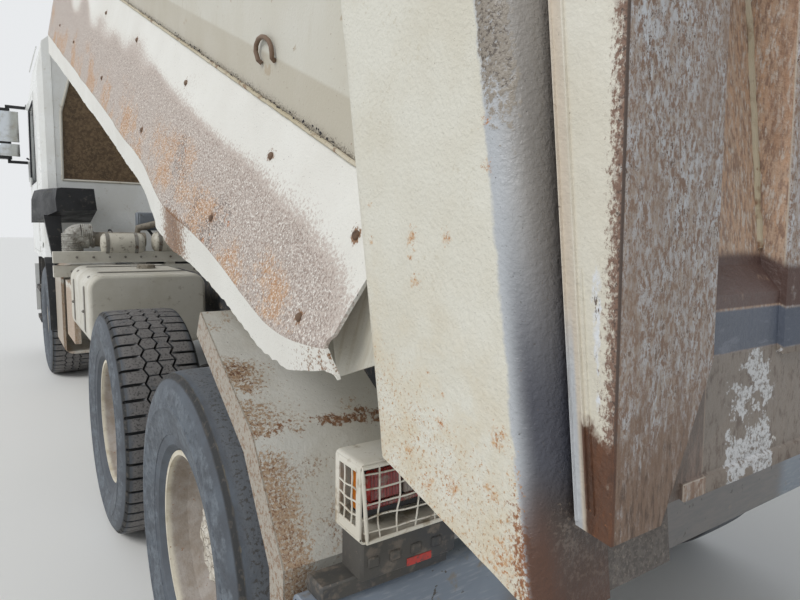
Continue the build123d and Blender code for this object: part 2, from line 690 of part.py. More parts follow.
def tailgate():
    """Top-hung gate: a raked panel, a box beam along its foot and deep tapered box ribs."""
    gap = GATE_GAP / math.cos(math.radians(RAKE))
    bottom, top = 436, TOP_U - 10

    def face_line(u, out):
        return raked(u) + gap + out

    gate = slab([(face_line(bottom, 0), bottom), (face_line(top, 0), top),
                 (face_line(top, 40), top), (face_line(bottom, 40), bottom)], "x", -1165, 1165)
    outer_rib = slab([(face_line(414, 0), 414), (rib_line(426), 426), (rib_line(top), top), (face_line(top, 0), top)],
                     "x", 1020, 1180)
    # the rib's foot is narrowed from its inner side
    outer_rib -= slab([(1000, 568), (1020, 568), (1110, 414), (1110, 400), (1000, 400)], "y", 0, 900)
    gate += outer_rib + mirror(outer_rib, about=Plane.YZ)
    # inner and outer edge of the other ribs on the left
    for x0, x1 in ((700, 868), (370, 510), (0, 80)):
        rib = slab([(face_line(560, 38), 560), (rib_line(560), 560), (rib_line(top), top), (face_line(top, 38), top)],
                   "x", x0, x1)
        gate += rib + mirror(rib, about=Plane.YZ)
    foot_beam = slab([(face_line(445, 5), 445), (rib_line(445) - 8, 445), (rib_line(625) - 8, 625),
                      (face_line(645, 38), 645), (face_line(645, 5), 645)], "x", -1112, 1112)
    foot_flange = slab([(face_line(bottom, 5), bottom), (rib_line(bottom) - 3, bottom), (rib_line(452) - 3, 452),
                        (face_line(452, 5), 452)], "x", -1060, 1060)
    top_beam = slab([(face_line(1500, 38), 1500), (face_line(1500, 130), 1500), (face_line(1620, 130), 1620),
                     (face_line(1620, 38), 1620)], "x", -1100, 1100)
    gate += foot_beam + foot_flange + top_beam
    pin_r = raked(TOP_U) - 30
    arm = slab([(pin_r - 35, TOP_U + 20), (pin_r - 35, TOP_U + 85), (pin_r + 60, TOP_U + 85),
                (rib_line(top) - 20, top - 60), (face_line(top - 60, 5), top - 60),
                (face_line(top, 5) + 10, top + 4)], "x", 1090, 1144)
    arm += rod_x(20, 1130, 1196, pin_r, TOP_U + 50)
    return gate + arm + mirror(arm, about=Plane.YZ)


save(tipped(tailgate()), "tailgate")

# Under-body hoist: a barrel on a cross shaft and four nested stages
def hoist_line():
    """Direction and length from the cross shaft to the eye in the raised pose."""
    tip = math.radians(TIP_ANGLE)
    eye_y = HINGE_Y + EYE_R * math.cos(tip) + EYE_U * math.sin(tip)
    eye_z = HINGE_Z + EYE_U * math.cos(tip) - EYE_R * math.sin(tip)
    dy, dz = eye_y - HOIST_Y, eye_z - HOIST_Z
    return math.degrees(math.atan2(dy, dz)), math.hypot(dy, dz)


lean_angle, eye_distance = hoist_line()
print("hoist leans %.2f degrees, eye at %.1f mm" % (lean_angle, eye_distance))


def on_hoist(shape):
    return Pos(0, HOIST_Y, HOIST_Z) * Rot(-lean_angle, 0, 0) * shape


barrel = rod_z(STAGE_RADII[0], BARREL_TOP - STAGE_L - 40, BARREL_TOP, 0, 0)
barrel -= rod_z(STAGE_RADII[1] + 2, BARREL_TOP - STAGE_L - 20, BARREL_TOP + 10, 0, 0)
trunnion = rod_x(TRUNNION_R, -200, 8 - STAGE_RADII[0], 0, 0) + rod_x(TRUNNION_R, STAGE_RADII[0] - 8, 200, 0, 0)
save(on_hoist(barrel + trunnion), "hoist_barrel")
for k in range(1, STAGES + 1):
    # lowered, the stages' tops stand 10 mm and their feet 20 mm above one another
    top = BARREL_TOP + 10 * k + STAGE_TRAVEL * k
    foot = BARREL_TOP - STAGE_L - 20 + 20 * k + STAGE_TRAVEL * k
    stage = rod_z(STAGE_RADII[k], foot, top, 0, 0)
    if k < STAGES:
        stage -= rod_z(STAGE_RADII[k + 1] + 2, foot + 12, top + 10, 0, 0)
    else:
        stage += rod_x(EYE_R_OUT, -32, 32, 0, eye_distance) + rod_z(36, top - 10, eye_distance, 0, 0)
        stage -= rod_x(EYE_R_IN, -60, 60, 0, eye_distance)
    save(on_hoist(stage), f"hoist_stage_{k}")


# Cab: hollow shell, glass, doors and the inside
# Side outline: Y from the front axle, Z
SIDE = [
    (CAB_FRONT_Y, CAB_Z0), (CAB_FRONT_Y, 1900), (CAB_FRONT_Y + 260, 3060), (CAB_FRONT_Y + 450, CAB_Z1),
    (CAB_REAR_Y, CAB_Z1), (CAB_REAR_Y, CAB_Z0),
]
WIND_SLOPE = 260 / (3060 - 1900)
# Half outline seen from behind, from the sill up: X, Z
ACROSS = [(CAB_X, CAB_Z0), (CAB_X, 2760), (1178, 3120), (1110, CAB_Z1)]
# Half outline seen from above, from the front back: X, Y
PLAN = [
    (CAB_X - 110, CAB_FRONT_Y), (CAB_X - 36, CAB_FRONT_Y + 26), (CAB_X, CAB_FRONT_Y + 110),
    (CAB_X, CAB_REAR_Y - 120), (CAB_X - 16, CAB_REAR_Y - 60), (CAB_X - 60, CAB_REAR_Y - 16), (CAB_X - 120, CAB_REAR_Y),
]
REAR_WINDOW = [(1060, 1890), (1050, 2510), (975, 2800), (870, 2960)]
DOOR_Y0 = FRONT_AXLE_Y - 1090
DOOR_Y1 = FRONT_AXLE_Y - 60
DOOR_Z0 = 1200
DOOR_Z1 = 2740
SILL_Z = 1900


def door_outline(gap):
    """The door's outline seen from the side, made smaller by a gap."""
    return [
        (DOOR_Y0 + gap, DOOR_Z0 + gap), (DOOR_Y0 + gap, 1980), (DOOR_Y0 + 170 + gap, DOOR_Z1 - gap),
        (DOOR_Y1 - gap, DOOR_Z1 - gap), (DOOR_Y1 - gap, DOOR_Z0 + gap),
    ]


def window_outline(gap):
    return [
        (DOOR_Y0 + 90 - gap, SILL_Z - gap), (DOOR_Y0 + 90 - gap, 1990), (DOOR_Y0 + 235 - gap, DOOR_Z1 - 80 + gap),
        (DOOR_Y1 - 80 + gap, DOOR_Z1 - 80 + gap), (DOOR_Y1 - 80 + gap, SILL_Z - gap),
    ]


def whole(half):
    """A closed outline from its right half."""
    return half + [(-x, other) for x, other in half[::-1]]


def cab_shell():
    outer = slab(SIDE, "x", -CAB_X, CAB_X)
    outer = outer & slab(whole(ACROSS), "y", CAB_FRONT_Y - 10, CAB_REAR_Y + 10)
    outer = outer & slab(whole(PLAN), "z", CAB_Z0 - 10, CAB_Z1 + 10)
    hollow = slab([
        (CAB_FRONT_Y + WALL, CAB_Z0 + WALL), (CAB_FRONT_Y + WALL, 1905), (CAB_FRONT_Y + 256 + WALL, 3020),
        (CAB_FRONT_Y + 470, CAB_Z1 - WALL), (CAB_REAR_Y - WALL, CAB_Z1 - WALL), (CAB_REAR_Y - WALL, CAB_Z0 + WALL),
    ], "x", WALL - CAB_X, CAB_X - WALL)
    inside = [(CAB_X - WALL, CAB_Z0), (CAB_X - WALL, 2750), (1130, 3090), (1085, CAB_Z1 - WALL)]
    hollow = hollow & slab(whole(inside), "y", CAB_FRONT_Y, CAB_REAR_Y)
    shell = outer - hollow
    shell -= slab(door_outline(0), "x", CAB_X - WALL - 20, CAB_X + 20)
    shell -= slab(door_outline(0), "x", -CAB_X - 20, WALL + 20 - CAB_X)
    shell -= block(-1000, 1000, CAB_FRONT_Y - 50, CAB_FRONT_Y + 340, 1920, 2900)
    shell -= slab(whole(REAR_WINDOW), "y", CAB_REAR_Y - 80, CAB_REAR_Y + 20)
    # radiator grille: a recess with level slats
    grille_z0, grille_z1 = 1260, 1720
    shell -= block(-760, 760, CAB_FRONT_Y - 10, CAB_FRONT_Y + 24, grille_z0, grille_z1)
    for z in range(grille_z0 + 26, grille_z1 - 30, 58):
        shell += block(-761, 761, CAB_FRONT_Y + 4, CAB_FRONT_Y + 26, z, z + 24)
    tunnel = block(-330, 330, CAB_FRONT_Y + WALL, CAB_REAR_Y, CAB_Z0, CAB_Z0 + 260)
    tunnel -= block(-300, 300, CAB_FRONT_Y + 200, CAB_REAR_Y + 20, CAB_Z0 - 20, CAB_Z0 + 230)
    return shell + tunnel


save(cab_shell(), "cab_shell")


def cab_glass():
    def wind_y(z):
        return CAB_FRONT_Y + 20 + (z - 1900) * WIND_SLOPE

    wind = slab([(wind_y(1925), 1925), (wind_y(2895), 2895), (wind_y(2895) + 12, 2895), (wind_y(1925) + 12, 1925)],
                "x", -999, 999)
    pane = [(x - 1, z) for x, z in REAR_WINDOW]
    pane[0] = (pane[0][0], 1891)
    pane[-1] = (pane[-1][0], 2959)
    rear = slab(whole(pane), "y", CAB_REAR_Y - 32, CAB_REAR_Y - 22)
    return Compound([*wind.solids(), *rear.solids()])


save(cab_glass(), "cab_glass")


def door(side):
    panel = slab(door_outline(CLEAR), "x", CAB_X - WALL, CAB_X)
    panel -= slab(window_outline(0), "x", CAB_X - WALL - 10, CAB_X + 10)
    handle = block(CAB_X - 1, CAB_X + 22, DOOR_Y1 - 170, DOOR_Y1 - 60, 1720, 1760)
    mirror_y = DOOR_Y0 + 60
    arm_top = block(CAB_X + 4, CAB_X + 200, mirror_y, mirror_y + 30, 2700, 2730)
    arm_low = block(CAB_X - 1, CAB_X + 200, mirror_y, mirror_y + 30, 2120, 2150)
    brace = block(CAB_X - 1, CAB_X + 16, mirror_y - 20, mirror_y + 150, 1880, 1970)
    brace_top = block(CAB_X - 1, CAB_X + 16, mirror_y + 130, mirror_y + 230, 2675, 2735)
    arm_top += block(CAB_X + 4, CAB_X + 30, mirror_y, mirror_y + 180, 2700, 2730)
    arm_low += block(CAB_X - 1, CAB_X + 24, mirror_y, mirror_y + 30, 1930, 2150)
    head = block(CAB_X + 170, CAB_X + 390, mirror_y - 20, mirror_y + 80, 2160, 2690)
    head = fillet(head.edges().filter_by(Axis.Z), 30)
    post = block(CAB_X + 180, CAB_X + 210, mirror_y, mirror_y + 30, 2120, 2730)
    shape = panel + handle + arm_top + arm_low + brace + brace_top + head + post
    return shape if side > 0 else mirror(shape, about=Plane.YZ)


def door_glass(side):
    pane = slab(window_outline(-1), "x", CAB_X - 34, CAB_X - 26)
    return pane if side > 0 else mirror(pane, about=Plane.YZ)


for name, side in (("left", 1), ("right", -1)):
    save(door(side), f"door_{name}")
    save(door_glass(side), f"door_glass_{name}")


def seats():
    floor = CAB_Z0 + WALL
    side = block(430, 900, FRONT_AXLE_Y - 520, FRONT_AXLE_Y - 20, floor + 260, floor + 400)
    back = slab([(FRONT_AXLE_Y - 140, floor + 400), (FRONT_AXLE_Y + 40, floor + 400),
                 (FRONT_AXLE_Y + 130, floor + 1150), (FRONT_AXLE_Y, floor + 1150)], "x", 450, 880)
    base = block(500, 830, FRONT_AXLE_Y - 460, FRONT_AXLE_Y - 60, floor, floor + 260)
    return both_sides(side + back + base)


save(seats(), "seats")


def dashboard():
    z = 1700
    dash = slab([(CAB_FRONT_Y + 60, z - 270), (CAB_FRONT_Y + 60, z + 150), (CAB_FRONT_Y + 330, z + 150),
                 (CAB_FRONT_Y + 430, z), (CAB_FRONT_Y + 300, z - 270)], "x", -1100, 1100)
    wheel = Pos(660, CAB_FRONT_Y + 560, z + 160) * Rot(40, 0, 0) * Torus(210, 16)
    spokes = Pos(660, CAB_FRONT_Y + 560, z + 160) * Rot(40, 0, 0) * Box(420, 50, 16)
    column = Pos(660, CAB_FRONT_Y + 560, z + 160) * Rot(40, 0, 0) * Pos(0, 0, -130) * Cylinder(30, 260)
    return dash + (wheel + spokes + column)


save(dashboard(), "dashboard")
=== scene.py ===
import json
import math
import random

import bmesh
import bpy
from mathutils import Matrix, Vector, noise


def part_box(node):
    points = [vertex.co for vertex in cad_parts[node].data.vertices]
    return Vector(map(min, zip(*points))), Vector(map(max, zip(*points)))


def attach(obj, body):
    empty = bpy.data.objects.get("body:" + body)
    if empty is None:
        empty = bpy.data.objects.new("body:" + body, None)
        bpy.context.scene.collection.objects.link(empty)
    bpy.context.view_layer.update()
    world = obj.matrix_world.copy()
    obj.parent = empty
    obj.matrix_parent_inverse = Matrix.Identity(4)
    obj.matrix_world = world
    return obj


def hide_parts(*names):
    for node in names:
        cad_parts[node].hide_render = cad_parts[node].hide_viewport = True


# noise_vector's offsets follow this seed, and the clock without it
noise.seed_set(5)

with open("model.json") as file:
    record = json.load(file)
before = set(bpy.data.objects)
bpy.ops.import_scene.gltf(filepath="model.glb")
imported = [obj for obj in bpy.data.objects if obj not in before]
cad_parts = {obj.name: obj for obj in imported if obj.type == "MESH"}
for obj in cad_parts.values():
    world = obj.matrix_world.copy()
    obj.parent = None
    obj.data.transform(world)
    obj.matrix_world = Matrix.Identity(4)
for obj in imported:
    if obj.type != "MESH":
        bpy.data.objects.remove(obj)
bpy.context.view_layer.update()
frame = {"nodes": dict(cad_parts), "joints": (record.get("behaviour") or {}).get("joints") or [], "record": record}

# Driving sizes, in metres, from the frame
joint = {j["name"]: j for j in frame["joints"]}
HINGE = Vector(joint["bed_hinge"]["pos_m"])
TIP = math.radians(22.5)
REAR_AXLE = Vector(joint["wheel_rear_left"]["pos_m"])
MID_AXLE = Vector(joint["wheel_mid_left"]["pos_m"])
FRONT_AXLE = Vector(joint["wheel_front_left"]["pos_m"])
FRONT_Y, MID_Y, REAR_Y = FRONT_AXLE.y * 1000, MID_AXLE.y * 1000, REAR_AXLE.y * 1000

# Camera: beside the rear left wheel, at chest height, looking forwards along the lorry and a little down
CAMERA_X = 1.635
CAMERA_BEHIND_AXLE = 1.738
CAMERA_HEIGHT = 1.507
YAW, PITCH, ROLL = math.radians(34.03), math.radians(6.83), math.radians(1.08)
FOCAL_PIXELS = 603.7
PHOTO_WIDTH = 800
SENSOR_MM = 36.0


def make_camera():
    """The photograph's camera."""
    forward = Vector((-math.sin(YAW) * math.cos(PITCH), -math.cos(YAW) * math.cos(PITCH), -math.sin(PITCH)))
    right = Vector((-math.cos(YAW), math.sin(YAW), 0))
    up = right.cross(forward)
    turned_right = right * math.cos(ROLL) + up * math.sin(ROLL)
    turned_up = up * math.cos(ROLL) - right * math.sin(ROLL)
    data = bpy.data.cameras.new("camera")
    data.sensor_width = SENSOR_MM
    data.lens = FOCAL_PIXELS * SENSOR_MM / PHOTO_WIDTH
    data.clip_start, data.clip_end = 0.05, 200
    camera = bpy.data.objects.new("camera", data)
    rows = Matrix((turned_right, turned_up, -forward)).transposed().to_4x4()
    place = Vector((CAMERA_X, REAR_AXLE.y + CAMERA_BEHIND_AXLE, CAMERA_HEIGHT))
    camera.matrix_world = Matrix.Translation(place) @ rows
    bpy.context.scene.collection.objects.link(camera)
    bpy.context.scene.camera = camera


# Shader helpers

def srgb(colour):
    """A written sRGB colour as the linear values that a shader takes."""
    parts = [int(colour[k:k + 2], 16) / 255 for k in (1, 3, 5)]
    return [p / 12.92 if p <= 0.04045 else ((p + 0.055) / 1.055) ** 2.4 for p in parts] + [1.0]


def add(tree, kind, settings=None, links=None):
    """Adds a node. links gives an input its value, or the node or socket that feeds it."""
    node = tree.nodes.new("ShaderNode" + kind)
    for name, value in (settings or {}).items():
        setattr(node, name, value)
    for name, value in (links or {}).items():
        if isinstance(value, bpy.types.Node):
            value = value.outputs[0]
        if isinstance(value, bpy.types.NodeSocket):
            tree.links.new(value, node.inputs[name])
        else:
            node.inputs[name].default_value = value
    return node


# Span of noise levels from one that covers all of a surface to one that covers none of it
NOISE_SPREAD = 0.42


def per_mm(size):
    """Texture scale, per metre, of a pattern whose features are this many millimetres wide."""
    return 1000 / size


def surface(name, roughness, metallic=0.0, **sockets):
    """A new material with one shader. Returns it with its tree, its shader and the place of the surface."""
    material = bpy.data.materials.new(name)
    material.use_nodes = True
    tree = material.node_tree
    tree.nodes.clear()
    shader = add(tree, "BsdfPrincipled", None, {"Roughness": roughness, "Metallic": metallic})
    for socket, value in sockets.items():
        shader.inputs[socket.replace("_", " ")].default_value = value
    add(tree, "OutputMaterial", None, {"Surface": shader})
    place = add(tree, "TexCoord").outputs["Object"]
    return material, tree, shader, place


def between(tree, value, low, high):
    """0 below low, 1 above high and smooth between. With low above high it falls."""
    return add(tree, "MapRange", {"interpolation_type": "SMOOTHSTEP"},
               {"Value": value, "From Min": low, "From Max": high})


def cloud(tree, place, size, detail, roughness, stretch):
    """Fractal noise whose features are this many millimetres wide, stretched by the three shares."""
    if stretch != (1, 1, 1):
        place = add(tree, "Mapping", None, {"Vector": place, "Scale": stretch})
    return add(tree, "TexNoise", None,
               {"Vector": place, "Scale": per_mm(size), "Detail": detail, "Roughness": roughness})


def shifted(tree, value, mask, reach):
    """The value moved by reach where the mask is 1, and by less where it is less."""
    push = add(tree, "Math", {"operation": "MULTIPLY"}, {0: mask, 1: reach})
    return add(tree, "Math", {"operation": "ADD"}, {0: value, 1: push})


def level_for(share):
    """The noise level above which about this share of a surface lies."""
    return 0.5 + (0.5 - share) * NOISE_SPREAD


def spots(tree, place, size, share, soft=0.04, detail=4.0, stretch=(1, 1, 1)):
    """Mask of irregular spots this many millimetres wide over about this share of the surface."""
    level = level_for(share)
    return between(tree, cloud(tree, place, size, detail, 0.62, stretch), level - soft, level + soft)


def fading(tree, place, size, share, where, soft=0.05, stretch=(1, 1, 1)):
    """Ragged spots that thin out to none as the mask where falls to 0."""
    ragged = cloud(tree, place, size, 8.0, 0.72, stretch)
    level = level_for(share)
    lack = add(tree, "Math", {"operation": "SUBTRACT"}, {0: where, 1: 1.0})
    return between(tree, shifted(tree, ragged, lack, 0.35), level - soft, level + soft)


def both(tree, *masks):
    """Where every mask is on. A number among them lowers the result to that share."""
    result = masks[0]
    for mask in masks[1:]:
        result = add(tree, "Math", {"operation": "MULTIPLY"}, {0: result, 1: mask})
    return result


def coats(tree, shader, base, *layers):
    """The base colour with layers over it, each a mask and a colour."""
    colour = srgb(base)
    for mask, coat in layers:
        colour = add(tree, "MixRGB", None, {"Fac": mask, "Color1": colour, "Color2": srgb(coat)})
    tree.links.new(colour.outputs[0], shader.inputs["Base Color"])
    return colour


def relief(tree, shader, height, depth):
    """Raises the surface by up to this many millimetres where height is 1, on top of earlier relief."""
    bump = add(tree, "Bump", None, {"Height": height, "Distance": depth / 1000, "Strength": 1.0})
    earlier = shader.inputs["Normal"].links
    if earlier:
        tree.links.new(earlier[0].from_socket, bump.inputs["Normal"])
    tree.links.new(bump.outputs[0], shader.inputs["Normal"])


def rough_by(tree, shader, mask, smooth, rough):
    """Roughness from smooth where the mask is 0 to rough where it is 1."""
    level = add(tree, "MapRange", None, {"Value": mask, "To Min": smooth, "To Max": rough})
    tree.links.new(level.outputs[0], shader.inputs["Roughness"])


def bed_place(tree, place):
    """The place on the tipping body, in metres: a point, across, along from the hinge and height."""
    turned = add(tree, "Mapping", {"vector_type": "TEXTURE"},
                 {"Vector": place, "Location": HINGE, "Rotation": (-TIP, 0, 0)})
    split = add(tree, "SeparateXYZ", None, {"Vector": turned})
    across = add(tree, "Math", {"operation": "ABSOLUTE"}, {0: split.outputs["X"]})
    return turned.outputs[0], across, split.outputs["Y"], split.outputs["Z"]


# Lines on the body's side that lean forwards with height: a point's along and level in metres, and degrees
POST_BEND_LINE = (0.575, 0.351, 32.9)
GATE_RIB_LINE = (0.609, 0.428, 24.5)
GATE_CLOSING_LINE = (0.600, 0.350, 30)


def behind_line(tree, along, height, line):
    """Distance behind a line that leans forwards with height, in metres."""
    start, level, lean = line
    slope = math.tan(math.radians(lean))
    passed = shifted(tree, along, height, slope)
    return add(tree, "Math", {"operation": "SUBTRACT"}, {0: passed, 1: start + level * slope})


def from_middle(tree, place):
    """Distance from the lorry's middle line, in metres."""
    split = add(tree, "SeparateXYZ", None, {"Vector": place})
    return add(tree, "Math", {"operation": "ABSOLUTE"}, {0: split.outputs["X"]})


def from_axle(tree, place):
    """Distance from a wheel's axle line, in metres, for a place measured from that line."""
    split = add(tree, "SeparateXYZ", None, {"Vector": place})
    squares = [both(tree, split.outputs[part], split.outputs[part]) for part in ("Y", "Z")]
    total = add(tree, "Math", {"operation": "ADD"}, {0: squares[0], 1: squares[1]})
    return add(tree, "Math", {"operation": "SQRT"}, {0: total})


# Materials, each by the real material that it stands for

def ivory_enamel():
    """Body plate in ivory enamel: dust veils, painted shade in a darker strip below its crease, fine dirt above
    the skirt.
    """
    material, tree, shader, place = surface("ivory_enamel_on_body_plate", 0.42)
    body, across, along, height = bed_place(tree, place)
    inner = both(tree, between(tree, across, 1.175, 1.165), between(tree, height, 0.44, 0.46),
                 between(tree, height, 1.70, 1.66), between(tree, along, -4.347, -4.344))
    outer = both(tree, between(tree, across, 1.165, 1.17), between(tree, across, 1.2, 1.19))
    # painted shade: the outer side below the crease is drawn darker, where the fold turns it from the light
    shade_below_crease = both(tree, outer, between(tree, height, 0.681, 0.673), between(tree, height, 0.58, 0.585))
    by_seam = both(tree, outer, between(tree, height, 0.635, 0.588), between(tree, height, 0.584, 0.587))
    seam_line = both(tree, outer, between(tree, height, 0.597, 0.592), between(tree, height, 0.584, 0.587))
    drips = both(tree, spots(tree, body, 40, 0.3, 0.1, 3, (1, 3, 0.25)), spots(tree, body, 260, 0.5, 0.1))
    under = both(tree, between(tree, height, 0.45, 0.42), between(tree, along, 0.44, 0.47))
    coats(tree, shader, "#CBC8BC",
          (spots(tree, body, 420, 0.5, 0.2), "#C5C0B1"),
          (drips, "#B9B2A0"),
          (shade_below_crease, "#B9B2A1"),
          (spots(tree, body, 60, 0.06, 0.02), "#AD9F88"),
          (spots(tree, body, 6, 0.02, 0.02), "#7F5A40"),
          (fading(tree, body, 3.5, 0.6, by_seam), "#6B6458"),
          (both(tree, seam_line, spots(tree, body, 40, 0.8, 0.1)), "#4A453D"),
          (both(tree, inner, spots(tree, body, 300, 0.8, 0.1)), "#8C7F70"),
          (both(tree, inner, spots(tree, body, 90, 0.4, 0.06)), "#6E5644"),
          (both(tree, inner, spots(tree, body, 60, 0.3, 0.05, 4, (1, 0.3, 1))), "#A3948A"),
          (under, "#5F5750"),
          (fading(tree, body, 7, 0.5, under), "#4A423C"),
          (fading(tree, body, 5, 0.3, under), "#7B7066"))
    rough_by(tree, shader, spots(tree, body, 200, 0.5, 0.2), 0.34, 0.6)
    relief(tree, shader, spots(tree, body, 700, 0.5, 0.3, 1), 5)
    relief(tree, shader, spots(tree, body, 6, 0.5, 0.2), 0.25)
    return material


def hammered_enamel():
    """Corner post in thick cream enamel over hammer marks: rust in its bend, at its foot and in spots, and painted
    shade over the bend: blue-grey, darkening towards the gate and low down.
    """
    material, tree, shader, place = surface("hammered_cream_enamel", 0.45)
    body, _, along, height = bed_place(tree, place)
    marked = add(tree, "Attribute", {"attribute_name": "rust"}).outputs["Fac"]
    past_bend = behind_line(tree, along, height, POST_BEND_LINE)
    border = shifted(tree, past_bend, spots(tree, body, 22, 0.5, 0.3), -0.008)
    # painted shade: the bend, which turns away from the light, is drawn blue-grey
    bend = between(tree, border, -0.008, 0.0)
    # painted shade: the bend darkens towards the groove beside the gate, most of all deep in it and low down
    deep = between(tree, past_bend, 0.008, 0.05)
    deepest_shade = between(tree, past_bend, 0.03, 0.055)
    low_bend_shade = both(tree, between(tree, past_bend, 0.0, 0.026), between(tree, height, 0.70, 0.50))
    top = both(tree, bend, between(tree, height, 0.66, 0.80), between(tree, past_bend, 0.052, 0.036))
    foot = between(tree, height, 0.60, 0.38)
    foot_face = both(tree, foot, between(tree, past_bend, 0.004, -0.004))
    rust_line = both(tree, between(tree, height, 0.54, 0.44), between(tree, past_bend, -0.05, -0.004),
                     between(tree, past_bend, 0.034, 0.004))
    corner = both(tree, between(tree, height, 0.46, 0.38), between(tree, past_bend, 0.0, 0.01),
                  between(tree, past_bend, 0.034, 0.02))
    under = both(tree, between(tree, height, 0.47, 0.41), between(tree, past_bend, 0.004, 0.03))
    coats(tree, shader, "#D8D5C8",
          (spots(tree, body, 170, 0.5, 0.15), "#D1CCBC"),
          (fading(tree, body, 9, 0.3, spots(tree, body, 60, 0.5, 0.1)), "#CAC4B3"),
          (both(tree, foot, spots(tree, body, 60, 0.5, 0.15)), "#CFC5AF"),
          (bend, "#B2B5B8"),
          (deep, "#8F8982"),
          (both(tree, deepest_shade, between(tree, height, 0.9, 0.62)), "#615D59"),
          (low_bend_shade, "#474850"),
          (fading(tree, body, 7, 0.7, top), "#8D8478"),
          (fading(tree, body, 4.5, 0.4, top), "#5B5147"),
          (fading(tree, body, 4.5, 0.13, bend), "#4F4A46"),
          (under, "#423A35"),
          (fading(tree, body, 6, 0.42, under), "#6F655C"),
          (fading(tree, body, 6, 0.3, rust_line), "#B98A58"),
          (fading(tree, body, 7, 0.55, both(tree, rust_line, between(tree, height, 0.5, 0.38))), "#8A5A38"),
          (corner, "#54382A"),
          (fading(tree, body, 5, 0.3, foot_face), "#B18A62"),
          (fading(tree, body, 4, 0.2, foot_face), "#7C5C46"),
          (fading(tree, body, 12, 0.42, marked, 0.1), "#C39A6C"),
          (fading(tree, body, 5, 0.42, marked), "#AC7544"),
          (fading(tree, body, 4, 0.26, marked), "#7E4B2C"),
          (spots(tree, body, 4, 0.02, 0.01, 8), "#6E5A4C"))
    rough_by(tree, shader, spots(tree, body, 60, 0.5, 0.2), 0.36, 0.62)
    relief(tree, shader, spots(tree, body, 7, 0.5, 0.25, 3), 0.8)
    relief(tree, shader, spots(tree, body, 3, 0.5, 0.2, 2), 0.2)
    return material


def worn_skirt_enamel():
    """Deflector plate in stone-blasted enamel: grey-pink and brown specks above a pale folded lip."""
    material, tree, shader, place = surface("stone_blasted_ivory_enamel", 0.55)
    body, _, along, _ = bed_place(tree, place)
    wear = add(tree, "Attribute", {"attribute_name": "wear"}).outputs["Fac"]
    halo = add(tree, "Attribute", {"attribute_name": "halo"}).outputs["Fac"]
    # the veil never falls below a half, so that the wear stays everywhere
    veil = between(tree, spots(tree, body, 260, 0.9, 0.3), -0.6, 0.6)
    middle = both(tree, between(tree, wear, 0.12, 0.46), veil)
    low = both(tree, between(tree, wear, 0.3, 0.85), spots(tree, body, 210, 0.6, 0.2))
    dark = both(tree, between(tree, wear, 0.4, 0.7), between(tree, along, -1.2, -0.7),
                spots(tree, body, 160, 0.55, 0.14))
    coats(tree, shader, "#E6E4DC",
          (spots(tree, body, 300, 0.5, 0.2), "#DEDBD2"),
          (fading(tree, body, 6, 0.85, middle, 0.08), "#BFB2A8"),
          (fading(tree, body, 5, 0.5, middle, 0.06), "#94847A"),
          (fading(tree, body, 16, 0.6, low, 0.12), "#C39E7C"),
          (fading(tree, body, 7, 0.62, low, 0.08), "#AB8059"),
          (fading(tree, body, 5, 0.5, dark), "#6F625B"),
          (fading(tree, body, 28, 0.3, dark), "#AC7040"),
          (fading(tree, body, 4, 0.35, middle), "#EAE6DE"),
          (spots(tree, body, 4.5, 0.03, 0.01), "#5A4A40"),
          (fading(tree, body, 7, 0.8, halo), "#85603F"),
          (fading(tree, body, 5, 0.4, halo), "#513B2E"))
    rough_by(tree, shader, middle, 0.4, 0.75)
    relief(tree, shader, spots(tree, body, 4, 0.45, 0.15), 0.4)
    relief(tree, shader, spots(tree, body, 180, 0.5, 0.3, 1), 4)
    return material


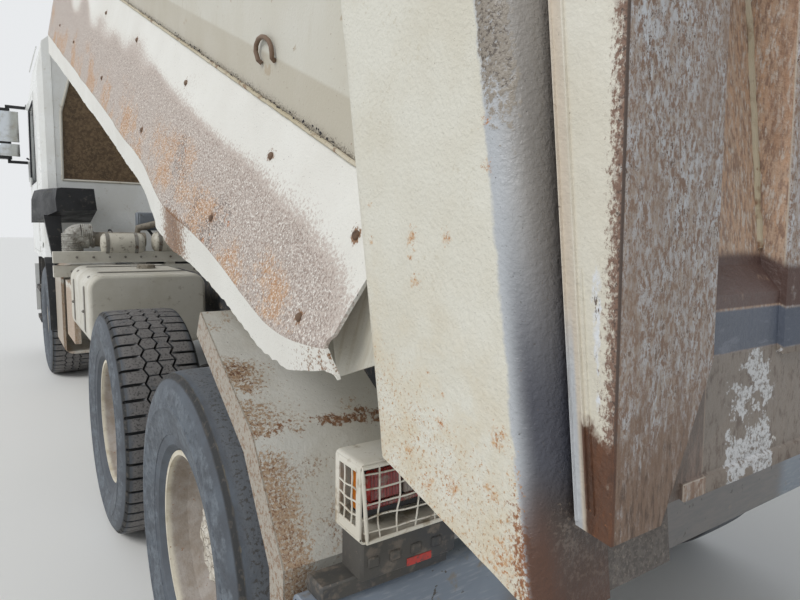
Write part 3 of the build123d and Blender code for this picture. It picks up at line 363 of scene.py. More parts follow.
def gate_enamel():
    """Tailgate in cream enamel: ribs worn to brown steel, rusty feet, a streaked panel, a scraped beam and a band
    of painted blue-grey shade along it.
    """
    material, tree, shader, place = surface("scraped_gate_enamel", 0.55)
    body, across, along, height = bed_place(tree, place)
    behind_rib = behind_line(tree, along, height, GATE_RIB_LINE)
    closing = behind_line(tree, along, height, GATE_CLOSING_LINE)
    rear = between(tree, behind_rib, -0.006, -0.002)
    side = between(tree, across, 1.1755, 1.1775)
    panel = both(tree, between(tree, across, 1.176, 1.173), between(tree, behind_rib, -0.003, -0.006))
    foot_beam = both(tree, between(tree, height, 0.66, 0.65), between(tree, across, 1.022, 1.018))
    down = (1, 1, 0.22)
    front_stripe = both(tree, side, between(tree, closing, 0.014, 0.004))
    pale_stripe = both(tree, side, between(tree, closing, 0.034, 0.016))
    edge = both(tree, side, between(tree, behind_rib, -0.042, 0.004))
    corner_line = both(tree, side, between(tree, behind_rib, -0.0014, -0.001))
    foot = between(tree, height, 0.66, 0.44)
    ragged = shifted(tree, height, spots(tree, place, 30, 0.5, 0.3, 6, (1, 1, 0.4)), 0.11)
    rust_field = both(tree, side, between(tree, closing, 0.018, 0.026), between(tree, ragged, 0.585, 0.55))
    flaked = both(tree, side, between(tree, height, 0.70, 0.62), between(tree, closing, 0.03, 0.05),
                  between(tree, behind_rib, -0.012, -0.024))
    white_foot = both(tree, side, between(tree, closing, 0.02, 0.015), between(tree, height, 0.62, 0.54))
    # painted shade: the beam's middle band is drawn blue-grey, the sky's light in its shade
    beam_shade_band = both(tree, foot_beam, between(tree, height, 0.566, 0.569),
                     between(tree, height, 0.612, 0.608))
    beam_plate = both(tree, foot_beam, between(tree, height, 0.569, 0.566))
    beam_lip = both(tree, foot_beam, between(tree, height, 0.61, 0.613))
    foot_gap = both(tree, panel, between(tree, height, 0.66, 0.64), between(tree, across, 1.018, 1.022))
    worn_patch = both(tree, beam_plate, between(tree, across, 0.85, 0.88), between(tree, across, 0.99, 0.97),
                      spots(tree, body, 60, 0.5, 0.06))
    inner_panel = both(tree, panel, between(tree, closing, 0.06, 0.08),
                       spots(tree, place, 40, 0.4, 0.2, 6, down))
    coats(tree, shader, "#DAD6C9",
          (spots(tree, body, 220, 0.5, 0.15), "#D3CDBD"),
          (pale_stripe, "#CFC3B2"),
          (fading(tree, body, 6, 0.7, front_stripe), "#A79480"),
          (fading(tree, body, 4, 0.3, front_stripe), "#7C6452"),
          (fading(tree, place, 14, 0.5, flaked, 0.08, (1, 1, 0.4)), "#D8DADD"),
          (fading(tree, place, 8, 0.3, flaked, 0.03, (1, 1, 0.3)), "#5C4C40"),
          (both(tree, side, spots(tree, body, 6, 0.02, 0.01, 8, (1, 1, 0.5))), "#6E6054"),
          (panel, "#B39B86"),
          (fading(tree, place, 10, 0.5, panel, 0.12, down), "#B8967B"),
          (fading(tree, place, 5.5, 0.45, panel, 0.07, (1, 1, 0.3)), "#8A705F"),
          (fading(tree, place, 5, 0.34, panel, 0.06, (1, 1, 0.3)), "#C0B6AB"),
          (inner_panel, "#8F7059"),
          (foot_gap, "#5E5148"),
          (fading(tree, place, 8, 0.4, foot_gap, 0.08, down), "#77655A"),
          (rear, "#A4988D"),
          (fading(tree, place, 8, 0.5, rear, 0.05, (1, 1, 0.45)), "#BEC0C3"),
          (fading(tree, place, 5.5, 0.48, rear, 0.04, (1, 1, 0.5)), "#7E6656"),
          (fading(tree, place, 4.5, 0.38, rear, 0.04, (1, 1, 0.5)), "#D6D8D9"),
          (fading(tree, place, 4.5, 0.32, rear, 0.04, (1, 1, 0.5)), "#5F4B3D"),
          (fading(tree, place, 60, 0.34, rear, 0.2, (1, 1, 0.3)), "#8F7A69"),
          (fading(tree, place, 10, 0.75, both(tree, rear, foot), 0.14, down), "#7D6655"),
          (fading(tree, place, 6, 0.4, both(tree, rear, foot), 0.08, down), "#5A483C"),
          (beam_plate, "#7C7268"),
          (fading(tree, body, 12, 0.35, beam_plate, 0.08, (1, 1, 0.4)), "#5E5046"),
          (both(tree, beam_plate, spots(tree, body, 70, 0.12, 0.012)), "#C9C6C0"),
          (fading(tree, body, 7, 0.62, worn_patch), "#BFBFBF"),
          (fading(tree, body, 5, 0.35, worn_patch), "#7A7672"),
          (beam_shade_band, "#525864"),
          (both(tree, beam_shade_band, spots(tree, body, 12, 0.2, 0.06, 4, (0.3, 1, 1))), "#646974"),
          (both(tree, beam_lip, spots(tree, body, 40, 0.9, 0.1)), "#54403A"),
          (fading(tree, place, 9, 0.6, edge, 0.08), "#B3A99D"),
          (fading(tree, place, 5, 0.7, edge, 0.06, (1, 1, 0.7)), "#7D6354"),
          (fading(tree, place, 4, 0.45, edge), "#52423A"),
          (corner_line, "#54463E"),
          (rust_field, "#64412C"),
          (fading(tree, place, 12, 0.5, rust_field, 0.14, down), "#4F382C"),
          (fading(tree, body, 6, 0.14, rust_field), "#8A5A38"),
          (white_foot, "#BCBEC0"),
          (fading(tree, place, 8, 0.3, white_foot, 0.08, (1, 1, 0.06)), "#96938F"))
    rough_by(tree, shader, rear, 0.45, 0.72)
    relief(tree, shader, spots(tree, body, 5, 0.5, 0.2), 0.4)
    relief(tree, shader, spots(tree, body, 45, 0.5, 0.25, 2), 1.4)
    return material


def mudguard_enamel():
    """Mudguard in pale grey enamel: brown specks thick along its outer edge and its rusty crease; the outer edge
    face is darkened with painted shade.
    """
    material, tree, shader, place = surface("rust_flecked_guard_enamel", 0.5)
    aside = from_middle(tree, place)
    up = add(tree, "SeparateXYZ", None, {"Vector": place}).outputs["Z"]
    level = shifted(tree, up, spots(tree, place, 90, 0.5, 0.3), 0.03)
    crease = both(tree, between(tree, level, 1.1, 1.075), between(tree, level, 1.045, 1.065),
                  spots(tree, place, 130, 0.75, 0.2))
    border = both(tree, between(tree, aside, 0.93, 1.16), between(tree, level, 1.03, 1.07),
                  between(tree, level, 1.215, 1.185), spots(tree, place, 180, 0.85, 0.25))
    flank = both(tree, between(tree, aside, 1.02, 1.17), between(tree, level, 1.1, 1.0))
    low = both(tree, between(tree, level, 1.07, 1.0), spots(tree, place, 120, 0.8, 0.25))
    # painted shade: the outer edge face, turned towards the sun, is drawn darker than the top; the specks over it
    # are rust
    valance_shade = between(tree, aside, 1.188, 1.191)
    coats(tree, shader, "#D2D0C8",
          (spots(tree, place, 190, 0.5, 0.14), "#C7C3B8"),
          (fading(tree, place, 9, 0.4, spots(tree, place, 170, 0.5, 0.1)), "#AE977D"),
          (fading(tree, place, 8, 0.65, border), "#A58B70"),
          (fading(tree, place, 6, 0.45, border), "#6A4A38"),
          (fading(tree, place, 7, 0.6, flank), "#B39A80"),
          (fading(tree, place, 5, 0.42, flank), "#8A6A52"),
          (fading(tree, place, 9, 0.36, low), "#AD9A85"),
          (fading(tree, place, 6, 0.3, low), "#85644D"),
          (fading(tree, place, 12, 0.6, crease), "#8A6549"),
          (fading(tree, place, 8, 0.35, crease), "#4E362A"),
          (valance_shade, "#A8A093"),
          (fading(tree, place, 9, 0.4, valance_shade), "#85684F"),
          (spots(tree, place, 5, 0.03, 0.015), "#54382B"))
    relief(tree, shader, spots(tree, place, 11, 0.5, 0.2), 0.5)
    relief(tree, shader, spots(tree, place, 160, 0.5, 0.3, 1), 4)
    return material


def bar_enamel():
    """Underrun bar in blue-grey enamel: fine drag marks along it, brown with road dust in the middle."""
    material, tree, shader, place = surface("blue_grey_bar_enamel", 0.4)
    dusty = between(tree, from_middle(tree, place), 0.72, 0.62)
    coats(tree, shader, "#828C98",
          (spots(tree, place, 300, 0.5, 0.15), "#76808C"),
          (spots(tree, place, 20, 0.3, 0.1, 6, (0.3, 1, 2)), "#8D949D"),
          (dusty, "#6A6969"),
          (fading(tree, place, 25, 0.5, dusty, 0.2, (0.3, 1, 2)), "#787370"),
          (spots(tree, place, 26, 0.06, 0.02), "#4A4540"),
          (spots(tree, place, 60, 0.12, 0.06), "#7E7870"))
    relief(tree, shader, spots(tree, place, 9, 0.5, 0.2, 4, (0.2, 1, 1)), 0.2)
    return material


def plain_enamel(name, colour, dust, dirt, roughness, dirt_share=0.25):
    """Painted steel with a veil of dust and darker dirt."""
    material, tree, shader, place = surface(name, roughness)
    coats(tree, shader, colour,
          (spots(tree, place, 240, 0.5, 0.15), dust),
          (spots(tree, place, 38, dirt_share, 0.08), dirt),
          (spots(tree, place, 8, 0.05, 0.02), dirt))
    rough_by(tree, shader, spots(tree, place, 120, 0.5, 0.2), roughness - 0.08, min(roughness + 0.2, 0.9))
    relief(tree, shader, spots(tree, place, 14, 0.5, 0.2), 0.25)
    return material


def tyre_rubber(name, top_dust, side_colour, mud_share):
    """Moulded rubber: dusty tread blocks, dark grooves, mud on the shoulder, painted blue-grey sheen in streaks on
    the side.
    """
    material, tree, shader, place = surface(name, 0.7)
    radius = from_axle(tree, place)
    tread = between(tree, radius, 0.5345, 0.5375)
    groove = both(tree, between(tree, radius, 0.535, 0.531), between(tree, radius, 0.512, 0.52))
    shoulder = both(tree, between(tree, radius, 0.536, 0.531), between(tree, radius, 0.519, 0.524))
    # the side's lighter blue-grey streaks below are painted sheen, standing for the sky's reflection
    side = both(tree, between(tree, radius, 0.51, 0.49), between(tree, radius, 0.30, 0.36))
    coats(tree, shader, side_colour,
          (spots(tree, place, 130, 0.5, 0.15), "#4B4F55"),
          (fading(tree, place, 40, 0.4, side, 0.12), "#6C737A"),
          (fading(tree, place, 18, 0.3, side, 0.1), "#3F4348"),
          (fading(tree, place, 30, mud_share, shoulder, 0.08), "#8A7F66"),
          (fading(tree, place, 9, mud_share * 0.5, shoulder), "#5C4E3C"),
          (groove, "#232425"),
          (both(tree, groove, spots(tree, place, 20, 0.3, 0.08)), "#45413C"),
          (both(tree, tread, spots(tree, place, 60, 0.85, 0.1)), top_dust),
          (both(tree, tread, spots(tree, place, 9, 0.35, 0.06, 8)), "#4C4A48"))
    relief(tree, shader, spots(tree, place, 5, 0.5, 0.2), 0.4)
    return material


def rim_enamel(name, axle, mud):
    """Rim in cream enamel: light lip, barrel darkened with painted shade and spotted brown with brake dust, pale
    dusty disc and hub.
    """
    material, tree, shader, place = surface(name, 0.6)
    at_axle = {"Vector": place, "Location": (0, axle.y, axle.z)}
    radius = from_axle(tree, add(tree, "Mapping", {"vector_type": "TEXTURE"}, at_axle))
    # painted shade: the barrel inside the rim is drawn darker, as shade falls in it; its brown spots are brake
    # dust
    barrel = both(tree, between(tree, radius, 0.284, 0.28), between(tree, radius, 0.236, 0.25))
    hub = between(tree, radius, 0.25, 0.235)
    coats(tree, shader, "#D5CDBA",
          (spots(tree, place, 60, 0.3, 0.1), "#BFB49C"),
          (barrel, "#A8A098"),
          (both(tree, barrel, spots(tree, place, 60, 0.5, 0.2)), "#918578"),
          (hub, "#B7B0A4"),
          (both(tree, hub, spots(tree, place, 50, mud, 0.1)), "#D6D0C4"),
          (both(tree, hub, spots(tree, place, 24, 0.3, 0.06)), "#8B7D6C"),
          (spots(tree, place, 12, 0.06, 0.02), "#8A5E3E"))
    relief(tree, shader, spots(tree, place, 10, 0.5, 0.2), 0.6)
    return material


def dried_mud():
    """Cracked pale mud dried onto a hub."""
    material, tree, shader, place = surface("dried_clay_mud", 0.95)
    cracks = add(tree, "TexVoronoi", {"feature": "DISTANCE_TO_EDGE"}, {"Vector": place, "Scale": per_mm(28)})
    dark = between(tree, cracks.outputs["Distance"], 0.06, 0.01)
    coats(tree, shader, "#CFC8BB",
          (spots(tree, place, 40, 0.5, 0.1), "#BAB1A1"),
          (spots(tree, place, 12, 0.25, 0.05), "#E2DDD2"),
          (dark, "#80756A"))
    relief(tree, shader, spots(tree, place, 18, 0.5, 0.2), 3)
    return material


def cab_glass():
    """Clear tinted panes with a little dust, and the rear pane under thick brown road dust."""
    material, tree, shader, place = surface("tinted_and_dusty_window_glass", 0.05, IOR=1.45)
    back = add(tree, "SeparateXYZ", None, {"Vector": place}).outputs["Y"]
    rear_pane = between(tree, back, FRONT_AXLE.y + 0.30, FRONT_AXLE.y + 0.31)
    film = both(tree, spots(tree, place, 120, 0.4, 0.3), 0.25)
    dusty = add(tree, "Math", {"operation": "MAXIMUM"}, {0: rear_pane, 1: film})
    clean = add(tree, "Math", {"operation": "SUBTRACT"}, {0: 1.0, 1: dusty})
    coats(tree, shader, "#C3CFCC",
          (rear_pane, "#4A3C2D"),
          (both(tree, rear_pane, spots(tree, place, 150, 0.55, 0.2)), "#65523D"),
          (both(tree, rear_pane, spots(tree, place, 30, 0.4, 0.12, 8)), "#78644B"),
          (both(tree, rear_pane, spots(tree, place, 9, 0.2, 0.05, 8)), "#927D62"))
    tree.links.new(clean.outputs[0], shader.inputs["Transmission Weight"])
    rough_by(tree, shader, dusty, 0.03, 0.5)
    return material


def door_enamel():
    """Door in the cab's glossy white enamel, its mirror arm and mirror housing in moulded black plastic."""
    material, tree, shader, place = surface("white_door_enamel_and_black_mirror", 0.32)
    mirror = between(tree, from_middle(tree, place), 1.262, 1.27)
    coats(tree, shader, "#EAEBE8",
          (spots(tree, place, 240, 0.5, 0.15), "#E2E2DD"),
          (spots(tree, place, 38, 0.08, 0.08), "#CFCBC1"),
          (mirror, "#1C1D1F"),
          (both(tree, mirror, spots(tree, place, 60, 0.3, 0.1)), "#2B2C2E"))
    relief(tree, shader, spots(tree, place, 14, 0.5, 0.2), 0.15)
    return material


def lens(name, colour, shade):
    """Moulded acrylic lens: fine vertical prisms under a clear coat."""
    material, tree, shader, place = surface(name, 0.18, Coat_Weight=0.6)
    across = add(tree, "SeparateXYZ", None, {"Vector": place}).outputs["X"]
    ribs = add(tree, "Math", {"operation": "PINGPONG"}, {0: both(tree, across, per_mm(7)), 1: 0.5})
    coats(tree, shader, colour,
          (between(tree, ribs, 0.1, 0.5), shade),
          (spots(tree, place, 30, 0.25, 0.1), "#8A7A6C"))
    relief(tree, shader, ribs, 2.0)
    return material


def lagging():
    """Ribbed aluminised heat wrap on the exhaust elbow, grey with soot and dust."""
    material, tree, shader, place = surface("aluminised_heat_wrap", 0.6, 0.25)
    coats(tree, shader, "#A9A7A0",
          (spots(tree, place, 60, 0.5, 0.12), "#8C8880"),
          (spots(tree, place, 18, 0.25, 0.05), "#C2BFB6"),
          (spots(tree, place, 30, 0.2, 0.05), "#6A6258"))
    relief(tree, shader, spots(tree, place, 12, 0.5, 0.2), 1.5)
    return material


def chrome():
    """Hard-chromed hoist stages, oily and faintly scored."""
    material, tree, shader, place = surface("hard_chromed_steel", 0.2, 1.0)
    coats(tree, shader, "#B9BABC",
          (spots(tree, place, 90, 0.4, 0.12), "#9A9792"),
          (spots(tree, place, 20, 0.2, 0.05), "#7A746A"))
    return material


def cloth():
    """Woven seat cloth: a 6 mm weave drawn coarser than the real 1 mm one, so that it still shows."""
    material, tree, shader, place = surface("woven_seat_cloth", 0.92)
    weave = add(tree, "TexChecker", None,
                {"Vector": place, "Scale": per_mm(6), "Color1": srgb("#33363D"), "Color2": srgb("#2A2C32")})
    tree.links.new(weave.outputs["Color"], shader.inputs["Base Color"])
    relief(tree, shader, weave.outputs["Fac"], 0.8)
    return material


def mirror_glass():
    """Silvered glass under a thin film of dust."""
    material, tree, shader, place = surface("silvered_mirror_glass", 0.06, 1.0)
    coats(tree, shader, "#C9CED2", (spots(tree, place, 90, 0.3, 0.15), "#B2B2AE"))
    return material


def reflector_tape():
    """Scrap of red retro-reflective tape, scuffed."""
    material, tree, shader, place = surface("red_reflective_tape", 0.35)
    coats(tree, shader, "#B8332B",
          (spots(tree, place, 14, 0.4, 0.1), "#8E3A33"),
          (spots(tree, place, 7, 0.2, 0.05), "#4A3D3B"))
    return material


MATERIALS = {
    "body_paint": ivory_enamel(),
    "cab_paint": plain_enamel("white_cab_enamel", "#EAEBE8", "#E2E2DD", "#CFCBC1", 0.3, 0.08),
    "chassis_paint": plain_enamel("dusty_frame_enamel", "#34363A", "#4C4944", "#6B6258", 0.6, 0.3),
    "bar_paint": bar_enamel(),
    "tank_paint": plain_enamel("beige_tank_enamel", "#CDC9BD", "#C3BEB0", "#A9A191", 0.4, 0.1),
    "guard_steel": mudguard_enamel(),
    "rim_paint": rim_enamel("dusty_rear_rim_enamel", REAR_AXLE, 0.6),
    "cast_metal": plain_enamel("oily_cast_iron", "#3B3733", "#4B443C", "#645A4E", 0.65, 0.3),
    "hard_chrome": chrome(),
    "rubber_tread": tyre_rubber("dusty_tyre_rubber", "#767371", "#555A60", 0.5),
    "black_plastic": plain_enamel("black_moulded_plastic", "#1B1C1E", "#26272A", "#4F4B45", 0.38, 0.15),
    "lagging": lagging(),
    "window_glass": cab_glass(),
    "red_lens": lens("red_acrylic_lens", "#93201C", "#6A1614"),
    "clear_lens": lens("clear_acrylic_lens", "#C9CFD4", "#AEB4B8"),
    "seat_cloth": cloth(),
    "dash_plastic": plain_enamel("grained_dash_plastic", "#3A3A3C", "#333335", "#48484A", 0.7, 0.2),
}
POST_ENAMEL = hammered_enamel()
SKIRT_ENAMEL = worn_skirt_enamel()
GATE_ENAMEL = gate_enamel()
MID_RIM = rim_enamel("dusty_middle_rim_enamel", MID_AXLE, 0.4)
FRONT_RIM = rim_enamel("dusty_front_rim_enamel", FRONT_AXLE, 0.4)
WORN_RUBBER = tyre_rubber("worn_tyre_rubber", "#666A6F", "#585F67", 0.6)
HUB_MUD = dried_mud()
AMBER_LENS = lens("amber_acrylic_lens", "#C4701E", "#9A5314")
CLEAR_DUSTY = lens("dust_filmed_clear_acrylic", "#9C928A", "#7F756C")
TAPE = reflector_tape()
MIRROR = mirror_glass()
DOOR_ENAMEL = door_enamel()
GUARD_WHITE = plain_enamel("white_lamp_guard_enamel", "#DCD8CC", "#CFC9BA", "#A39680", 0.42)
PALE_TANK = plain_enamel("pale_reservoir_enamel", "#C9C4B6", "#BBB5A6", "#8C8577", 0.4)
GREY_BOX = plain_enamel("blue_grey_box_enamel", "#7F868E", "#747A80", "#5F605E", 0.45)
PIPE_STEEL = plain_enamel("dusty_pipe_steel", "#8D8577", "#7D7568", "#5E564B", 0.6)
WELD = plain_enamel("painted_weld_metal", "#C4BBA6", "#B4A98F", "#7A5A40", 0.6)
RUSTY_STUD = plain_enamel("rusty_stud_steel", "#7A6654", "#6B5443", "#4A382C", 0.7)
STEEL_BOLT = plain_enamel("zinc_bolt_steel", "#8A8780", "#7A756C", "#5E4A3A", 0.5)
RUBBER_SEAL = plain_enamel("window_seal_rubber", "#26272A", "#35343A", "#55504A", 0.75)
BLACK_HOSE = plain_enamel("black_air_hose_nylon", "#1D1E20", "#2B2B2D", "#4A463F", 0.5)
# Nodes with a material of their own, where another one of their slot wouldn't match the photograph
OWN_MATERIAL = {
    "tailgate": GATE_ENAMEL, "bed_skirts": SKIRT_ENAMEL, "rim_mid_left": MID_RIM, "rim_mid_right": MID_RIM,
    "rim_front_left": FRONT_RIM, "rim_front_right": FRONT_RIM, "lamp_guards": GUARD_WHITE,
    "tyre_rear_left": WORN_RUBBER, "tyre_rear_right": WORN_RUBBER,
    "door_left": DOOR_ENAMEL, "door_right": DOOR_ENAMEL,
}


def dress_nodes():
    """Gives every CAD node its own material, or its slot's."""
    slots = {row["node"]: row["material_slot"] for row in frame["record"]["subparts"]}
    for name, node in frame["nodes"].items():
        node.data.materials.clear()
        node.data.materials.append(OWN_MATERIAL.get(name) or MATERIALS[slots[name]])


# Mesh helpers. Lengths are in millimetres until a point is placed.

def in_row(point):
    """Millimetres in the lorry's frame."""
    return Vector(point) / 1000


SIDES = ((1, "left"), (-1, "right"))


def wheel(axle_name, side_name):
    """A wheel's body, and the middle of its tyre in metres."""
    body = f"wheel_{axle_name}_{side_name}"
    middle = Vector(joint[body]["pos_m"])
    low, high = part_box(f"tyre_{axle_name}_{side_name}")
    return body, Vector(((low.x + high.x) / 2, middle.y, middle.z))


def held(value):
    """The value kept between 0 and 1."""
    return max(0.0, min(1.0, value))


def on_bed(point):
    """Across, along from the hinge and height above it, on the raised body."""
    x, along, height = point
    back = along * math.cos(TIP) + height * math.sin(TIP)
    up = height * math.cos(TIP) - along * math.sin(TIP)
    return HINGE + Vector((x, back, up)) / 1000


def show(name, mesh, material, body, slot=None):
    """Makes an object that moves with a CAD body. A slot's name as material stands for that slot's material."""
    if isinstance(material, str):
        material, slot = MATERIALS[material], material
    made = bpy.data.objects.new(name, mesh)
    mesh.materials.append(material)
    mesh.shade_smooth()
    mesh.set_sharp_from_angle(angle=math.radians(38))
    bpy.context.scene.collection.objects.link(made)
    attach(made, body)
    return made


def net(name, rows, ring=False, loop=False):
    """A mesh through rows of points. ring closes each row, and loop joins the last row to the first."""
    width = len(rows[0])
    points = [point for row in rows for point in row]
    faces = []
    for k in range(len(rows) if loop else len(rows) - 1):
        below = (k + 1) % len(rows)
        for j in range(width if ring else width - 1):
            beside = (j + 1) % width
            faces.append((k * width + j, k * width + beside, below * width + beside, below * width + j))
    mesh = bpy.data.meshes.new(name)
    mesh.from_pydata(points, [], faces)
    return mesh


def outward(mesh, thickness=0.0, fill=False):
    """Turns a closed form's faces outwards, after giving a sheet its thickness or closing open ends."""
    work = bmesh.new()
    work.from_mesh(mesh)
    if thickness:
        bmesh.ops.solidify(work, geom=work.faces[:], thickness=thickness)
    if fill:
        bmesh.ops.holes_fill(work, edges=[e for e in work.edges if e.is_boundary], sides=60)
    bmesh.ops.recalc_face_normals(work, faces=work.faces)
    work.to_mesh(mesh)
    work.free()
    return mesh


def around(count, start=0.0):
    """Cosine and sine of this many equal steps of a full turn."""
    angles = [2 * math.pi * (k + start) / count for k in range(count)]
    return [(math.cos(angle), math.sin(angle)) for angle in angles]


def tube_faces(rings, sides):
    """Faces of a tube of rings of this many points each, both ends closed."""
    faces = []
    for k in range(rings - 1):
        for j in range(sides):
            beside = (j + 1) % sides
            faces.append((k * sides + j, k * sides + beside, (k + 1) * sides + beside, (k + 1) * sides + j))
    return faces + [list(range(sides)), [(rings - 1) * sides + j for j in range(sides)]]


class Pile:
    """Gathers many small closed forms into one mesh."""

    def __init__(self, place=in_row, both_sides=False):
        self.points, self.faces, self.place, self.both_sides = [], [], place, both_sides

    def put(self, points, faces):
        for side in ((1, -1) if self.both_sides else (1,)):
            start = len(self.points)
            self.points += [self.place((side * p[0], p[1], p[2])) for p in points]
            self.faces += [[start + k for k in face] for face in faces]

    def block(self, x0, x1, y0, y1, z0, z1, edge=2.0, turn=None, about=None):
        """A block with its edges cut off, turned by a matrix about a point if one is given."""
        signs = [(a, b, c) for a in (0, 1) for b in (0, 1) for c in (0, 1)]
        low, high = (x0, y0, z0), (x1, y1, z1)
        points = []
        for sign in signs:
            for face_axis in range(3):
                point = []
                for axis in range(3):
                    inset = 0 if axis == face_axis else edge
                    point.append(high[axis] - inset if sign[axis] else low[axis] + inset)
                points.append(point)
        corner = {sign: k * 3 for k, sign in enumerate(signs)}
        faces = []
        for axis in range(3):
            one, two = [k for k in range(3) if k != axis]
            for level in (0, 1):
                ring = []
                for a, b in ((0, 0), (1, 0), (1, 1), (0, 1)):
                    sign = [0, 0, 0]
                    sign[axis], sign[one], sign[two] = level, a, b
                    ring.append(corner[tuple(sign)] + axis)
                faces.append(ring)
            for a in (0, 1):
                for b in (0, 1):
                    ends = []
                    for level in (0, 1):
                        sign = [0, 0, 0]
                        sign[axis], sign[one], sign[two] = level, a, b
                        ends.append(corner[tuple(sign)])
                    faces.append((ends[0] + one, ends[1] + one, ends[1] + two, ends[0] + two))
        faces += [(k * 3, k * 3 + 1, k * 3 + 2) for k in range(8)]
        if turn:
            middle = Vector(about)
            points = [middle + turn @ (Vector(p) - middle) for p in points]
        self.put(points, faces)

    def tube(self, line, radius, sides=8):
        """A round bar along a line of points."""
        line = [Vector(p) for p in line]
        points = []
        side = (line[1] - line[0]).orthogonal().normalized()
        for k, here in enumerate(line):
            ahead = (line[min(k + 1, len(line) - 1)] - line[max(k - 1, 0)]).normalized()
            side = (side - ahead * side.dot(ahead)).normalized()
            other = ahead.cross(side)
            points += [here + (side * c + other * s) * radius for c, s in around(sides)]
        self.put(points, tube_faces(len(line), sides))

    def spun(self, profile, origin, axis, sides=16):
        """A turned form from (distance along the axis, radius) points, both ends closed."""
        axis = Vector(axis).normalized()
        side = axis.orthogonal().normalized()
        other = axis.cross(side)
        origin = Vector(origin)
        points = []
        for distance, radius in profile:
            points += [origin + axis * distance + (side * c + other * s) * radius for c, s in around(sides)]
        self.put(points, tube_faces(len(profile), sides))

    def bolt(self, origin, axis, size=10):
        """A hexagon head of this half width on its washer, with the bolt's end showing."""
        self.spun([(-2, size * 1.3), (size * 0.25, size * 1.3)], origin, axis, 16)
        self.spun([(0, size * 1.12), (size, size * 1.12), (size * 1.15, size * 0.9)], origin, axis, 6)
        self.spun([(size, size * 0.55), (size * 1.5, size * 0.5)], origin, axis, 10)

    def bead(self, line, radius, seed=0):
        """A weld bead: a bar whose line and size wander a little."""
        line = [Vector(p) for p in line]
        dots = []
        for start, end in zip(line, line[1:]):
            steps = max(2, int((end - start).length / (radius * 2.2)))
            dots += [start.lerp(end, k / steps) for k in range(steps)]
        dots.append(line[-1])
        shaken = [p + noise.noise_vector(p * 0.05 + Vector((seed, 0, 0))) * radius * 0.35 for p in dots]
        self.tube(shaken, radius, 6)

    def finish(self, name, material, body, slot=None):
        mesh = bpy.data.meshes.new(name)
        mesh.from_pydata(self.points, [], self.faces)
        return show(name, outward(mesh), material, body, slot)


def rounded(name, node, width, body, slot, steps=2):
    """A copy of a CAD node's mesh with its sharp edges rounded, shown in the node's place."""
    work = bmesh.new()
    work.from_mesh(frame["nodes"][node].data)
    bmesh.ops.remove_doubles(work, verts=work.verts, dist=2e-5)
    bmesh.ops.dissolve_limit(work, angle_limit=math.radians(1), verts=work.verts, edges=work.edges)
    sharp = [e for e in work.edges if len(e.link_faces) == 2 and e.calc_face_angle(0) > math.radians(28)]
    bmesh.ops.bevel(work, geom=sharp, offset=width / 1000, segments=steps, profile=0.5, affect="EDGES",
                    clamp_overlap=True)
    mesh = bpy.data.meshes.new(name)
    work.to_mesh(mesh)
    work.free()
    if "custom_normal" in mesh.attributes:
        mesh.attributes.remove(mesh.attributes["custom_normal"])
    made = show(name, mesh, frame["nodes"][node].data.materials[0], body, slot)
    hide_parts(node)
    return made


# Tyres

# offset from the tyre's middle and radius, from the bead up the sidewall's ribs to the shoulder
TYRE_SIDE = [
    (147, 300.6), (150, 305), (158, 312), (167, 320), (168, 334), (172, 350),
    (174, 351), (176, 366), (182, 390), (187, 412), (190, 430), (191.5, 432),
    (191.5, 444), (189.5, 446), (187, 468), (182, 490), (175, 508), (168, 520),
]
TREAD_RADIUS = 539.6
GROOVE_AT = (62, 0, -62)


def tread_row(worn, phase):
    """One slice through the tyre at this share of a tread pitch: (offset, radius) round the whole section."""
    swing = abs((phase - 0.15) % 1.0 - 0.5) * 4 - 1
    slot_open = not worn and 0.06 < phase < 0.24
    sipe_open = not worn and 0.61 < phase < 0.69
    slot_drop = 14 if slot_open else 0
    shoulder = [(161.5 - slot_drop * 0.3, 531 - slot_drop), (155, 534.8 - slot_drop),
                (130, 538.2 - slot_drop), (98, 539.2 - slot_drop)]
    row = TYRE_SIDE + shoulder
    depth = 3.5 if worn else 15
    drop = 6 if sipe_open else 0
    for n, middle in enumerate(GROOVE_AT):
        shift = (swing if n % 2 == 0 else -swing) * (2 if worn else 9)
        row.append((middle + shift + 5.5, TREAD_RADIUS - (drop if n > 0 else 0)))
        row.append((middle + shift + 3.5, TREAD_RADIUS - depth))
        row.append((middle + shift - 3.5, TREAD_RADIUS - depth))
        row.append((middle + shift - 5.5, TREAD_RADIUS - (drop if n < 2 else 0)))
        if n < 2:
            row.append((middle - 31, 539.8 - drop))
    row += [(-x, r) for x, r in reversed(TYRE_SIDE + shoulder)]
    return row


def tyre_mesh(name, worn):
    """A whole tyre about the origin: ribbed sidewalls, shoulder slots, zigzag grooves and cross cuts."""
    pitches = 40 if worn else 50
    phases = [0.0, 0.25, 0.5, 0.75]
    if not worn:
        phases = [0.0, 0.05, 0.08, 0.15, 0.22, 0.25, 0.5, 0.60, 0.62, 0.65, 0.68, 0.70, 0.85]
    rows = []
    for pitch in range(pitches):
        for phase in phases:
            angle = 2 * math.pi * (pitch + phase) / pitches
            row = []
            for x, r in tread_row(worn, phase):
                place = Vector((x / 1000, r / 1000 * math.sin(angle), r / 1000 * math.cos(angle)))
                shake = noise.noise(place * 60) * (0.0008 if worn else 0.0004)
                row.append(place * (1 - abs(shake) / 0.54) if r > 310 else place)
            rows.append(row)
    return outward(net(name, rows, ring=True, loop=True))


